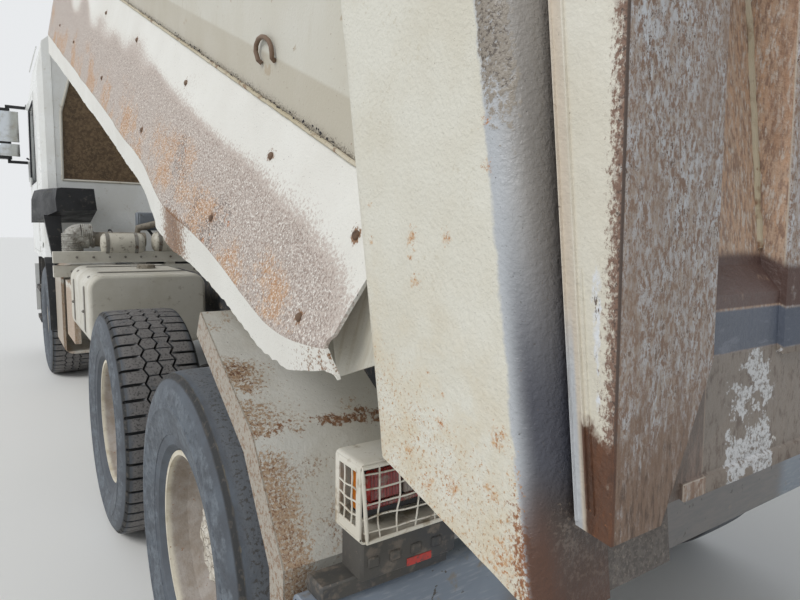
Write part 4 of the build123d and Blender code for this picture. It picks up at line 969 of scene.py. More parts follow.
def make_tyres():
    """Block-tread tyres in front and in the middle, worn ones at the rear, each in its solid's place."""
    blocky, smooth = tyre_mesh("block_tread_tyre", False), tyre_mesh("worn_tread_tyre", True)
    dusty = MATERIALS["rubber_tread"]
    kinds = (("front", blocky, dusty), ("mid", blocky, dusty), ("rear", smooth, WORN_RUBBER))
    for axle_name, mesh, rubber in kinds:
        for _, side_name in SIDES:
            body, middle = wheel(axle_name, side_name)
            made = bpy.data.objects.new(f"{axle_name}_{side_name}_tyre_rubber", mesh)
            if not mesh.materials:
                mesh.materials.append(rubber)
                mesh.shade_smooth()
                mesh.set_sharp_from_angle(angle=math.radians(35))
            made.location = middle
            bpy.context.scene.collection.objects.link(made)
            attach(made, body)
            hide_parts(f"tyre_{axle_name}_{side_name}")


def make_hub_mud():
    """Mud caked on the hubs behind the cab, thick on the last axle and thin on the one before it."""
    # offset from the tyre's middle and radius
    profile = [(-60, 178), (-44, 179), (-26, 173), (-14, 152), (2, 126), (30, 119),
               (68, 116), (82, 88), (88, 62), (89, 30), (90, 0.5)]
    for axle_name, thick in (("rear", 30), ("mid", 6)):
        for side, side_name in SIDES:
            body, middle = wheel(axle_name, side_name)
            rows = []
            for x, r in profile:
                row = []
                for c, s in around(96):
                    probe = Vector((x / 40, r * s / 34, r * c / 34))
                    swell = 0.55 + noise.noise(probe + Vector((thick, 0, 0))) + 0.3 * noise.noise(probe * 3)
                    lump = thick * max(0.0, swell)
                    out = r + lump * (0.8 if x < 60 else 0.3)
                    row.append((side * (x + lump * 0.35) / 1000, out * s / 1000, out * c / 1000))
                rows.append(row)
            mud = outward(net("hub_mud", rows, ring=True))
            made = show(f"{axle_name}_{side_name}_hub_mud", mud, HUB_MUD, body)
            made.matrix_world = Matrix.Translation(middle)
            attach(made, body)


VALVE_ANGLE = 0.6


def make_wheel_nuts():
    """Ten nuts with their stud ends on every hub, and the valve stem in the rim's barrel."""
    for axle_name, radius, seat in (("front", 140, 76), ("mid", 196, -62), ("rear", 196, -62)):
        for side, side_name in SIDES:
            body, middle = wheel(axle_name, side_name)
            nuts = Pile(lambda point: middle + in_row(point))
            for c, s in around(10, 0.5):
                nuts.bolt((side * seat, radius * s, radius * c), (side, 0, 0), 15)
            c, s = math.cos(VALVE_ANGLE), math.sin(VALVE_ANGLE)
            nuts.tube([(side * 60, 252 * s, 252 * c), (side * 118, 244 * s, 244 * c)], 5)
            nuts.finish(f"{axle_name}_{side_name}_wheel_nuts", STEEL_BOLT, body)


# Deflector skirts

SKIRT_FRONT = -4200
# X and level of the seam that the skirt hangs from, and X of its fold
SEAM_X, SEAM_LEVEL = 1173.1, 588
FOLD_X = 1252
POST_RAKE = 34.2
# plug welds: along, level
NUBS = [(95, 510), (-267, 513), (-896, 510), (-1556, 509), (-2216, 508), (-2876, 506), (-3536, 505),
        (57, 354), (-419, 325), (-1162, 306), (-1978, 287), (-2923, 268), (-3600, 250)]


def leaning(level, along, base, lean):
    """Where a line that leans forwards with height is at this level, from one of its points."""
    return along - (level - base) * math.tan(math.radians(lean))


def skirt_edge(level):
    """Rear end of the skirt at this level: beside the post, then a cut corner and the lip's torn tip."""
    if level >= 498:
        return leaning(level, 312, 292, POST_RAKE)
    if level >= 385:
        return 171 - (498 - level) * 0.02
    return 161 + max(0.0, 372 - level) * 1.09


def skirt_fold(along):
    """Height of the skirt's fold, and how far it climbs towards its cut rear corner."""
    rise = 72 * held((along + 60) / 230) ** 1.5
    return 298 + (along - 200) * 191 / 4400 + rise, rise


def skirt_point(side, share, along, raw=False):
    """A point of the skirt: share 0 at the seam, 1 at the fold, 2 at the lip's end. raw has no dents."""
    fold, rise = skirt_fold(along)
    lip = 240 + (along - 200) * 258 / 4400 + rise + 26 * held((along - 60) / 140)
    lip -= 22 * math.exp(-((along + 600) / 330) ** 2)
    if share <= 1:
        x, level = SEAM_X + (FOLD_X - SEAM_X) * share, SEAM_LEVEL + (fold - SEAM_LEVEL) * share
    else:
        x, level = FOLD_X - 6 * (share - 1), fold + (lip - fold) * (share - 1)
    if raw:
        return x, along, level
    low_part = held((share - 0.35) / 0.65)
    probe = Vector((along / 420, level / 300, side * 3))
    dent = noise.noise(probe) * 9 + noise.noise(probe * 3.1) * 3
    knock = math.exp(-((along + 750) / 190) ** 2)
    flare = math.exp(-((along + 900) / 900) ** 2)
    x += max(-1.5, dent) * low_part * 0.8 + 9 * knock * low_part + 7 * flare * low_part
    ripple = max(0.0, noise.noise(Vector((along / 260, 5, side)))) * 9 * low_part
    level -= 34 * knock * held((share - 0.6) / 0.6) + ripple
    if share > 1.2:
        coarse = abs(noise.noise(Vector((along / 35, 9, side)))) * 9
        fine = noise.noise(Vector((along / 12, 2, side))) * 3 * knock
        level += (coarse + fine) * (share - 1)
        x += noise.noise(Vector((along / 60, 3, side))) * 8 * knock * (share - 1)
    x -= 0.3 + abs(noise.noise(Vector((along / 16, level / 16, 1)))) * 0.5
    return x, along, level


def make_skirts():
    """Both deflector skirts as thin dented plates, with the wear that their material shows stored on them."""
    shares = [k / 30 for k in range(31)] + [1.02, 1.06, 1.12] + [1.12 + 0.88 * k / 8 for k in range(1, 9)]
    slices = 300
    for side, side_name in SIDES:
        rows, wear, halo = [], [], []
        for k in range(slices):
            row = []
            part = 1 - (1 - k / (slices - 1)) ** 1.6
            for share in shares:
                end = skirt_edge(skirt_point(side, share, 170, True)[2])
                along = SKIRT_FRONT + part * (end - SKIRT_FRONT)
                x, along, level = skirt_point(side, share, along)
                row.append(on_bed((side * x, along, level)))
                strength = min(share, 1.0) * (1.0 - 0.75 * max(0.0, (along + 60) / 240))
                if share > 1.03:
                    strength = 0.0
                wear.append(strength + noise.noise(Vector((along / 330, level / 90, 4))) * 0.18)
                near = min(math.hypot(along - a, level - h) for a, h in NUBS)
                torn = math.exp(-((along + 640) / 130) ** 2) * held((share - 0.93) / 0.1)
                tip = 0.5 * held((along + 30) / 160) * held((share - 0.97) / 0.1)
                halo.append(max(math.exp(-(near / 16) ** 2), torn, tip))
            rows.append(row)
        mesh = net(f"{side_name}_skirt_plate", rows)
        for title, values in (("wear", wear), ("halo", halo)):
            mesh.attributes.new(title, "FLOAT", "POINT").data.foreach_set("value", values)
        outward(mesh, thickness=0.006 * side)
        made = show(f"{side_name}_skirt_plate", mesh, SKIRT_ENAMEL, "bed", "body_paint")
        if side == 1:
            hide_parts("bed_skirts")
    nubs = Pile(on_bed, both_sides=True)
    for along, level in NUBS:
        x, along, level = skirt_point(1, (SEAM_LEVEL - level) / (SEAM_LEVEL - skirt_fold(along)[0]), along)
        nubs.spun([(-4, 8), (2, 7.5), (4.5, 5.5), (5.5, 2.5)], (x, along, level), (1, 0, 0.2), 14)
    nubs.finish("skirt_plug_welds", RUSTY_STUD, "bed")


# Corner posts

POST_TOP = 1697
# level of a post's foot at its front edge, and how much higher it is at the bend
POST_FOOT, FOOT_RISE = 292, 41


def post_front(level):
    """Where a corner post's front edge is at this level."""
    return leaning(level, 315, 292, POST_RAKE)


def post_bend(level):
    """Where a corner post's outer plate bends inwards at this level."""
    return leaning(level, 579, 351, 32.6)


def raked(level):
    """Where the body's rear opening is at this level: the post's rear face, which the gate closes on."""
    return leaning(level, 600, 350, 30)


# rust marks on a post's outer plate: along, level, radius
POST_RUST = [(257, 580, 26), (319, 606, 18), (268, 556, 14), (289, 535, 22), (329, 736, 16), (350, 694, 18),
             (155, 579, 12), (178, 540, 14), (446, 359, 30), (363, 343, 24), (482, 458, 30), (540, 350, 44),
             (352, 450, 10), (387, 443, 12), (401, 412, 20), (300, 330, 16), (410, 330, 26), (500, 400, 24)]


def rust_at(point):
    """How strongly a point of the post's plate is marked with rust."""
    return max(math.exp(-(math.hypot(point[1] - a, point[2] - h) / r) ** 2) for a, h, r in POST_RUST)


def hammered(side, x, along, level, push):
    """The point with the plate's shallow hammer marks, up to 1.2 mm either way of 2.4 mm off the solid."""
    coarse = noise.noise(Vector((along / 42, level / 42, side * 7)))
    marks = coarse + 0.5 * noise.noise(Vector((along / 15, level / 15, 2)))
    wave = noise.noise(Vector((along / 300, level / 380, side)))
    inward = max(-1.2, min(1.2, marks * 0.8 + wave * 0.9)) if push else 0.0
    return (side * (x + 2.4 - inward), along, level)


def post_slice(side, share):
    """One slice round a post at this share of its height: front edge, outer plate, bend and rear face."""
    # X, and share of the way from the front edge to the bend
    stations = [(1160, 0.0), (1200, 0.0), (1216, 0.0), (1220.5, 0.006), (1222, 0.02)]
    stations += [(1222, 0.02 + 0.98 * j / 34) for j in range(1, 34)]
    row = []
    for x, station in stations:
        foot = POST_FOOT + FOOT_RISE * station
        level = foot + (POST_TOP - foot) * share
        along = post_front(level) + (post_bend(level) - post_front(level)) * station
        row.append(hammered(side, x, along - (1.2 if station == 0.0 else 0), level, station > 0.0))
    foot = POST_FOOT + FOOT_RISE
    level = foot + (POST_TOP - foot) * share
    deep = raked(level) - post_bend(level) + 1.4
    turns = 12
    for j in range(turns + 1):
        angle = math.pi / 2 * j / turns
        along = post_bend(level) + deep * math.sin(angle) ** 1.15
        row.append(hammered(side, 1180 + 42 * math.cos(angle), along, level, True))
    return row + [hammered(side, x, raked(level) + 1.4, level, False) for x in (1170, 1150, 1125)]


def make_post_skins():
    """The hammered outer plate of each corner post, wrapped round its front edge and its rear bend."""
    count = 170
    for side, side_name in SIDES:
        rows, rust = [], []
        for k in range(count):
            row = post_slice(side, k / (count - 1))
            rows.append([on_bed(p) for p in row])
            rust += [rust_at(p) for p in row]
        mesh = net(f"{side_name}_post_plate", rows)
        mesh.attributes.new("rust", "FLOAT", "POINT").data.foreach_set("value", rust)
        outward(mesh, thickness=0.004 * side)
        show(f"{side_name}_post_plate", mesh, POST_ENAMEL, "bed", "body_paint")


def make_body_details():
    """Weld beads, rope hooks, grit on the skirt's seam and the plates that close the gap under each post."""
    welds = Pile(on_bed, both_sides=True)
    welds.bead([(1176, post_front(600), 592), (1177, SKIRT_FRONT + 10, 592)], 4, 1)
    levels = (600, 900, 1300, 1690)
    welds.bead([(1174.5 + (level - 575) * 0.0516, post_front(level) - 3, level) for level in levels], 4, 2)
    welds.bead([(1234, -4350, 1583), (1240, 60, 1583)], 4, 3)
    welds.finish("body_seam_welds", WELD, "bed")
    hooks = Pile(on_bed, both_sides=True)
    path = [(1178, -410, 655), (1185, -414, 659), (1186, -430, 672), (1186, -432, 684),
            (1186, -424, 696), (1186, -408, 703), (1186, -390, 705), (1186, -370, 702),
            (1186, -354, 694), (1186, -346, 684), (1185, -345, 676), (1178, -347, 671)]
    for along in (0, -1100, -2200, -3300):
        hooks.tube([(x, along + a, level) for x, a, level in path], 4.6, 10)
    hooks.finish("rope_hooks", RUSTY_STUD, "bed")
    grit = Pile(on_bed, both_sides=True)
    pick = random.Random(4)
    for k in range(260):
        along = -60 - 4000 * pick.random() ** 1.3
        size = pick.uniform(0.6, 1.6)
        place = (1176.5 + pick.random() * 2, along, 594 + pick.random() ** 2 * 12)
        grit.spun([(-2, size), (size * 0.5, size * 0.8), (size * 0.9, size * 0.3)],
                  place, (0.4, pick.uniform(-1, 1), 1), 5)
    grit.finish("grit_on_skirt_seam", RUBBER_SEAL, "bed")
    # plate that closes the gap between the skirt's rear end and the corner post
    closing = Pile(on_bed, both_sides=True)
    outline = [(40, 478), (132, 492), (236, 384), (122, 278), (84, 330), (40, 330)]
    points = [(x, along, level) for x in (1188, 1193) for along, level in outline]
    count = len(outline)
    closing.put(points, [tuple(range(count)), tuple(range(count, 2 * count))] + [
        (k, (k + 1) % count, (k + 1) % count + count, k + count) for k in range(count)])
    closing.finish("skirt_closing_plates", "body_paint", "bed")


def make_gate_details():
    """Rounded gate, the folded strips along its closing edge and its hinge pins' collars."""
    rounded("tailgate_plates", "tailgate", 4, "tailgate", "body_paint", 3)
    strips = Pile(on_bed, both_sides=True)

    def closing(level, out):
        return raked(level) + 7 + out

    def strip(outs, x0, x1, low, high, steps=40):
        points = []
        for k in range(steps + 1):
            level = low + (high - low) * k / steps
            for x, out in ((x0, outs[0]), (x1, outs[0] + 1.5), (x1, outs[1] - 1.5), (x0, outs[1])):
                shake = noise.noise(Vector((level / 60, out, 3))) * 0.7
                points.append((x + shake, closing(level, out) + shake, level))
        strips.put(points, tube_faces(steps + 1, 4))

    strip((1, 5), 1176, 1183, 420, 1688)
    strip((17, 22), 1176, 1182.5, 440, 1688)
    strip((26, 29), 1176, 1181.5, 440, 640, 12)
    strips.finish("gate_edge_strips", GATE_ENAMEL, "tailgate", "body_paint")
    pins = Pile(on_bed, both_sides=True)
    pin = raked(1700) - 30
    pins.spun([(0, 34), (7, 34), (9, 30)], (1196, pin, 1750), (1, 0, 0), 24)
    pins.spun([(0, 30), (6, 30)], (1124, pin, 1750), (1, 0, 0), 24)
    pins.finish("gate_pin_collars", STEEL_BOLT, "tailgate")
    beads = Pile(on_bed, both_sides=True)
    for x in (868, 700, 510, 370, 80):
        near = x + (3 if x in (868, 510, 80) else -3)
        beads.bead([(near, closing(level, 41), level) for level in (660, 1000, 1490)], 4, x)
    beads.finish("gate_rib_welds", WELD, "tailgate")


# Rear lamps and their wire guards

LAMP_Y = REAR_Y + 731
# X of the frame rails' outer faces
RAIL = 400


def make_lamp_guards():
    """White boxes with bent wire grids, replacing the straight ones of the frame."""
    x0, x1, y0, y1, z0, z1 = 640, 1100, LAMP_Y, LAMP_Y + 98, 920, 1077
    guard = Pile(both_sides=True)
    # top, inner side and bottom as one bent sheet, its corners rounded
    bend = 12
    outer = []
    for cx, cz, start in ((x1 - bend, z1 - bend, 0), (x0 + bend, z1 - bend, 90),
                          (x0 + bend, z0 + bend, 180), (x1 - bend, z0 + bend, 270)):
        for k in range(5):
            angle = math.radians(start + 22.5 * k)
            outer.append((cx, cz, math.cos(angle), math.sin(angle)))
    points, faces = [], []
    rings = ((y0, bend), (y1 - 2, bend), (y1 - 2, bend - 4), (y0 + 4, bend - 4))
    for y, reach in rings:
        points += [(cx + reach * a, y, cz + reach * b) for cx, cz, a, b in outer]
    count = len(outer)
    # the outer side stays open: its frame is made of the strips below
    for n in range(3):
        for k in range(count - 1):
            faces.append((n * count + k, n * count + k + 1, (n + 1) * count + k + 1, (n + 1) * count + k))
    faces.append(tuple(range(count)))
    faces.append(tuple(3 * count + k for k in range(count)))
    last = count - 1
    faces.append((last, last + count, last + 2 * count, last + 3 * count))
    faces.append((0, count, 2 * count, 3 * count))
    guard.put(points, faces)
    for ya, yb, za, zb in ((y0, y0 + 14, z0 + 8, z1 - 8), (y1 - 18, y1 - 2, z0 + 8, z1 - 8),
                           (y0 + 1, y1 - 3, z0 + 6, z0 + 30), (y0 + 1, y1 - 3, z1 - 20, z1 - 6)):
        guard.block(x1 - 4.5, x1 - (0 if yb - ya < 20 else 0.6), ya, yb, za, zb, 0.8)
    wires = Pile(both_sides=True)

    def warp(x, z):
        """The grid's point at this X and Z, pushed about and sagging most in the middle."""
        push = noise.noise_vector(Vector((x / 80, z / 55, 3)))
        middle = math.sin(math.pi * (x - x0) / (x1 - x0))
        return x + push.x * 7, y1 - 3 - abs(push.y) * 12 * middle, z + push.z * 5 - 5 * middle

    corners = [(x0 + 8, z0 + 6), (x0 + 8, z1 - 8), (x1 - 4, z1 - 8), (x1 - 16, z0 + 2), (x0 + 8, z0 + 6)]
    line = []
    for (xa, za), (xb, zb) in zip(corners, corners[1:]):
        for k in range(12):
            line.append((xa + (xb - xa) * k / 12, y1 - 1, za + (zb - za) * k / 12))
    line.append(line[0])
    wires.tube(line, 4, 8)
    for k in range(10):
        x = x0 + 20 + 44 * k
        top = z1 - 6 if k != 8 else z1 + 12
        wires.tube([warp(x, z0 + 4 + (top - z0 - 4) * n / 10) for n in range(11)], 1.8, 6)
    for k in range(5):
        z = z0 + 20 + 29 * k
        wires.tube([warp(x0 + 6 + (x1 - x0 - 14) * n / 28, z) for n in range(29)], 1.8, 6)
    for k in range(3):
        z = z0 + 52 + 25 * k
        line = [(x1 - 2, y0 + 8 + (y1 - 20 - y0) * n / 6, z + 2 * math.sin(n * 1.3 + k)) for n in range(7)]
        wires.tube(line, 1.8, 6)
    for y in (y0 + 34, y0 + 62):
        line = [(x1 - 1 - abs(math.sin(n)) * 2, y, z0 + 28 + (z1 - 16 - z0 - 28) * n / 6) for n in range(7)]
        wires.tube(line, 1.8, 6)
    wires.finish("lamp_guard_wires", GUARD_WHITE, "chassis")
    guard.block(x1 - 40, x1 - 12, y0 - 6, y0 + 2, z0 + 40, z0 + 74, 3)
    made = guard.finish("lamp_guard_boxes", GUARD_WHITE, "chassis", "guard_steel")
    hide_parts("lamp_guards")
    bracket = Pile(both_sides=True)
    bracket.block(860, x1 - 10, y0 + 6, y1 - 12, 836, z0 + 2, 6)
    bracket.block(860, x1 + 60, y0 - 4, y0 + 60, 800.5, 837, 4)
    for x in (900, 950, 1000, 1050):
        bracket.block(x, x + 26, y1 - 14, y1 - 9, 862, 884, 3)
    bracket.finish("lamp_guard_brackets", "chassis_paint", "chassis")
    fittings = Pile(both_sides=True)
    fittings.spun([(-2, 7), (2, 7), (3, 5)], (x1 - 26, y0 - 7, z0 + 57), (0, -1, 0), 14)
    fittings.finish("lamp_guard_bolts", STEEL_BOLT, "chassis")


def make_tail_lamps():
    """Lamp clusters: a black body with red and clear lenses behind the grid and an amber one at the side."""
    y0, y1 = LAMP_Y + 5, LAMP_Y + 71
    shell = Pile(both_sides=True)
    shell.block(667, 1073, y0, y1 - 22, 947, 1054, 8)
    shell.block(667, 1073, y1 - 24, y1 - 14, 950, 1051, 3)
    made = shell.finish("tail_lamp_bodies", "black_plastic", "chassis")
    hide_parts("tail_lamps")
    red, amber, clear = Pile(both_sides=True), Pile(both_sides=True), Pile(both_sides=True)
    for pile, start, end, low in ((red, 672, 742, 954), (clear, 746, 806, 954), (red, 810, 872, 954),
                                  (clear, 876, 984, 984), (red, 988, 1066, 984)):
        pile.block(start, end, y1 - 18, y1, low, 1047, 5)
    red.block(876, 1066, y1 - 18, y1 - 3, 966, 981, 5)
    amber.block(1064, 1077, y0 + 12, y1 - 16, 960, 1041, 4)
    red.finish("red_lamp_lenses", "red_lens", "chassis")
    amber.finish("amber_lamp_lenses", AMBER_LENS, "chassis")
    clear.finish("dusty_clear_lenses", CLEAR_DUSTY, "chassis")


def make_bar_details():
    """End caps and bolts on the underrun bar, and a scrap of tape above it beside the lamp guard."""
    rear = REAR_Y + 787
    tape = Pile(both_sides=True)
    tape.block(925, 985, LAMP_Y + 85, LAMP_Y + 87.4, 840, 856, 0.4)
    tape.finish("reflective_tape_strips", TAPE, "chassis")
    caps = Pile(both_sides=True)
    caps.block(1172, 1183, REAR_Y + 716, rear - 9, 570, 786, 4)
    caps.finish("bar_end_caps", "black_plastic", "chassis")
    bolts = Pile(both_sides=True)
    for z in (640, 700):
        for x in (RAIL - 30, RAIL + 20):
            bolts.bolt((x, REAR_Y + 707, z), (0, -1, 0), 10)
    bolts.finish("bar_bolts", STEEL_BOLT, "chassis")


# Along the chassis

def make_chassis_details():
    """Frame and axle bolts, air hoses along the frame and to the axles, brake chambers and front dampers."""
    bolts = Pile(both_sides=True)
    y = FRONT_Y - 900
    while y < REAR_Y + 500:
        for z in (790, 850, 960):
            bolts.bolt((RAIL, y, z), (1, 0, 0), 7)
        y += 240
    for axle in (MID_Y, REAR_Y):
        for y in (axle - 34, axle + 34):
            for x in (RAIL + 14, RAIL + 80):
                bolts.tube([(x, y, 470), (x, y, 800)], 9, 8)
                bolts.spun([(0, 16), (18, 16)], (x, y, 800), (0, 0, 1), 6)
    bolts.finish("frame_bolts", STEEL_BOLT, "chassis")
    hoses = Pile()
    for lane, (x, z) in enumerate([(330, 905), (345, 880), (300, 890), (-330, 905), (-345, 880)]):
        line = []
        for k in range(60):
            y = FRONT_Y + 1000 + (REAR_Y - 200 - FRONT_Y - 1000) * k / 59
            line.append((x + 8 * math.sin(k * 0.6 + lane), y, z - 14 * abs(math.sin(k * 0.45 + lane))))
        hoses.tube(line, 7 if lane % 2 else 10, 8)
    for side in (1, -1):
        for axle in (MID_Y, REAR_Y):
            for n in range(2):
                line = []
                for k in range(17):
                    t = k / 16
                    fall = 290 * t + 90 * math.sin(math.pi * t)
                    line.append((side * (330 + 330 * t), axle + 150 + 60 * n - 150 * t, 900 - fall))
                hoses.tube(line, 8, 8)
    hoses.finish("air_hoses", BLACK_HOSE, "chassis")
    chambers = Pile(both_sides=True)
    for axle in (MID_Y, REAR_Y):
        for sign in (-1, 1):
            chambers.spun([(0, 50), (10, 86), (54, 90), (62, 98), (74, 98), (82, 90), (126, 84), (138, 50)],
                          (640, axle + sign * 190, 600), (0, sign, 0.15), 28)
    chambers.finish("brake_chambers", "chassis_paint", "chassis")
    damp = Pile(both_sides=True)
    damp.spun([(0, 20), (12, 26), (200, 26), (204, 34), (420, 34), (430, 20)],
              (RAIL + 130, FRONT_Y + 150, 420), (0, 0.12, 1), 18)
    damp.finish("front_dampers", "chassis_paint", "chassis")


def make_tank_details():
    """Straps round the fuel tank and its filler cap."""
    y0, y1 = MID_Y - 1700, MID_Y - 763
    straps = Pile()
    section = [(500, 1000), (500, 1110), (528, 1170), (590, 1199), (1094, 1199), (1158, 1173), (1188, 1105),
               (1188, 840), (1160, 775), (1094, 746), (590, 746), (528, 775), (500, 840), (500, 1000)]
    for y in (y0 + 190, y1 - 200):
        points = []
        for x, z in section:
            inner_x, inner_z = x * 0.996 + 3, z * 0.996 + 4
            points += [(x, y - 28, z), (x, y + 28, z), (inner_x, y + 28, inner_z), (inner_x, y - 28, inner_z)]
        # a strap ends where it starts, so it has no end faces
        straps.put(points, tube_faces(len(section), 4)[:-2])
        straps.bolt((1190, y, 960), (1, 0, 0), 8)
    straps.finish("tank_straps", STEEL_BOLT, "chassis")
    cap = Pile()
    cap.spun([(0, 62), (10, 62), (13, 56), (26, 56), (30, 48)], (760, y0 + 420, 1193), (0, 0, 1), 28)
    for k in range(6):
        angle = 2 * math.pi * k / 6
        turn = Matrix.Rotation(angle, 3, "Z")
        cap.block(752, 768, y0 + 360, y0 + 380, 1204, 1220, 3, turn, (760, y0 + 420, 1212))
    cap.finish("tank_filler_cap", PIPE_STEEL, "chassis")


def make_behind_cab():
    """What shows between the cab and the body: wrapped elbow, pipes, reservoirs, a grey box and clamps."""
    y = FRONT_Y + 1150
    wrap = Pile()
    for k in range(15):
        wrap.spun([(0, 76), (4, 81), (10, 81), (14, 76)], (1080, y, 1200 + k * 14), (0, 0, 1), 28)
    bend = []
    for k in range(15):
        angle = math.pi / 2 * k / 14
        bend.append((1080 - 60 + 60 * math.cos(angle), y, 1350 + 60 * math.sin(angle)))
    wrap.tube(bend, 80, 24)
    for k in range(6):
        wrap.spun([(0, 77), (4, 82), (10, 82), (14, 77)], (1015 - k * 14, y, 1408), (-1, 0, 0), 28)
    wrap.finish("elbow_heat_wrap", "lagging", "chassis")
    pipe = Pile()
    pipe.spun([(0, 62), (120, 62), (126, 68), (150, 68), (156, 62), (420, 62)],
              (930, y, 1360), (-1, 0, 0), 28)
    pipe.tube([(560, y - 60, 1380), (560, y - 30, 1460), (420, y, 1500), (180, y, 1500), (0, y - 20, 1440)],
              30, 14)
    pipe.finish("exhaust_pipe", PIPE_STEEL, "chassis")
    clamp = Pile()
    for x in (938, 802):
        clamp.spun([(0, 66), (2, 71), (18, 71), (20, 66)], (x, y, 1360), (-1, 0, 0), 28)
        clamp.block(x - 18, x - 2, y + 60, y + 96, 1350, 1370, 2)
    clamp.finish("pipe_clamps", STEEL_BOLT, "chassis")
    tanks = Pile()
    for x0, x1, z in ((560, 900, 1330), (120, 500, 1345)):
        dome = [(0, 20), (6, 60), (22, 82), (40, 88)]
        profile = dome + [(x1 - x0 - distance, radius) for distance, radius in reversed(dome)]
        tanks.spun(profile, (x0, FRONT_Y + 1372, z), (1, 0, 0), 28)
    tanks.finish("air_reservoirs", PALE_TANK, "chassis")
    straps = Pile()
    for x in (620, 840, 190, 430):
        z = 1330 if x > 520 else 1345
        straps.spun([(0, 88), (1, 91), (27, 91), (28, 88)], (x, FRONT_Y + 1372, z), (1, 0, 0), 28)
        straps.block(x, x + 28, FRONT_Y + 1350, FRONT_Y + 1394, 1262, 1280, 2)
    straps.finish("reservoir_straps", STEEL_BOLT, "chassis")
    box = Pile()
    box.block(330, 560, FRONT_Y + 1000, FRONT_Y + 1080, 1440, 1600, 10)
    box.block(350, 540, FRONT_Y + 1080, FRONT_Y + 1088, 1460, 1580, 4)
    box.finish("grey_valve_box", GREY_BOX, "chassis")
    fittings = Pile()
    for x in range(-1080, 1200, 120):
        fittings.bolt((x, FRONT_Y + 1420, 1223), (0, 1, 0), 7)
        fittings.bolt((x + 40, FRONT_Y + 1414, 1111), (0, 1, 0), 7)
    fittings.finish("cross_beam_bolts", STEEL_BOLT, "chassis")
    lines = Pile()
    for n in range(6):
        line = []
        for k in range(25):
            t = k / 24
            x = 700 - 260 * n + 60 * math.sin(3 * t + n)
            line.append((x, FRONT_Y + 520 + 800 * t, 1180 + 260 * math.sin(math.pi * t) + 24 * n))
        lines.tube(line, 12 if n % 2 else 9, 8)
    lines.finish("cab_air_lines", BLACK_HOSE, "chassis")
    marker = Pile()
    marker.block(1172, 1190, FRONT_Y + 1262, FRONT_Y + 1296, 1090, 1140, 4)
    marker.finish("amber_side_marker", AMBER_LENS, "chassis")
    reflector = Pile()
    reflector.block(1190, 1196, FRONT_Y + 1180, FRONT_Y + 1250, 1060, 1100, 2)
    reflector.finish("red_side_reflector", "red_lens", "chassis")


# Cab

def make_cab_details():
    """Window seals, seam trims, wipers, sun visor, roof lamps and the blank strip under the windscreen."""
    front_y, back_y = FRONT_Y - 1330, FRONT_Y + 350
    seals = Pile()
    frame_line = [(1060, 1890), (1050, 2510), (975, 2800), (870, 2960)]
    opening = frame_line + [(-x, z) for x, z in frame_line[::-1]] + [frame_line[0]]
    seals.tube([(x, back_y - 6, z) for x, z in opening], 13, 8)
    glass_front = [(1000, 1920), (1000, 2900), (-1000, 2900), (-1000, 1920), (1000, 1920)]
    seals.tube([(x, front_y + 8 + (z - 1900) * 260 / 1160, z) for x, z in glass_front], 12, 8)
    seals.finish("window_seals", "tank_paint", "cab")
    trims = Pile(both_sides=True)
    trims.tube([(1113, back_y + 1, z) for z in range(1180, 3060, 60)], 3, 6)
    trims.tube([(1216, FRONT_Y - 850 + k * 45, 3072) for k in range(26)], 6, 6)
    trims.tube([(1243, FRONT_Y - 60, 1200), (1243, FRONT_Y - 60, 1600), (1243, FRONT_Y - 60, 2735)], 3, 6)
    trims.block(1237, 1246, FRONT_Y - 40, FRONT_Y + 260, 1260, 1310, 4)
    trims.finish("cab_seam_trims", "cab_paint", "cab")
    wipers = Pile()
    blade_turn = Matrix.Rotation(math.radians(-28), 3, "Y")
    for x in (-640, 60, 700):
        y = front_y - 2
        wipers.tube([(x, y + 4, 1880), (x + 60, y + 2, 1930), (x + 260, y + 40, 2160)], 8, 8)
        wipers.block(x - 60, x + 560, y + 22, y + 40, 2040, 2058, 4, blade_turn, (x + 240, y + 30, 2140))
        wipers.spun([(0, 26), (12, 24), (20, 14)], (x, front_y + 2, 1876), (0, -1, 0), 16)
    wipers.finish("windscreen_wipers", "black_plastic", "cab")
    visor = Pile()
    visor_turn = Matrix.Rotation(math.radians(-38), 3, "X")
    edges = [-1060 + 2120 * k / 8 for k in range(9)]
    for start, end in zip(edges, edges[1:]):
        visor.block(start, end - 4, front_y + 120, front_y + 132, 2900, 3040, 4, visor_turn,
                    (0, front_y + 230, 3030))
    visor.finish("sun_visor", "black_plastic", "cab")
    markers = Pile(both_sides=True)
    for x in (300, 900):
        markers.block(x, x + 110, front_y + 300, front_y + 350, 3120, 3152, 8)
    markers.finish("roof_marker_lamps", AMBER_LENS, "cab")
    plate = Pile()
    plate.block(-260, 260, front_y - 3, front_y + 2, 1790, 1850, 1)
    for side in (-1, 1):
        plate.bolt((side * 240, front_y - 3, 1820), (0, -1, 0), 5)
    plate.finish("blank_name_strip", "black_plastic", "cab")


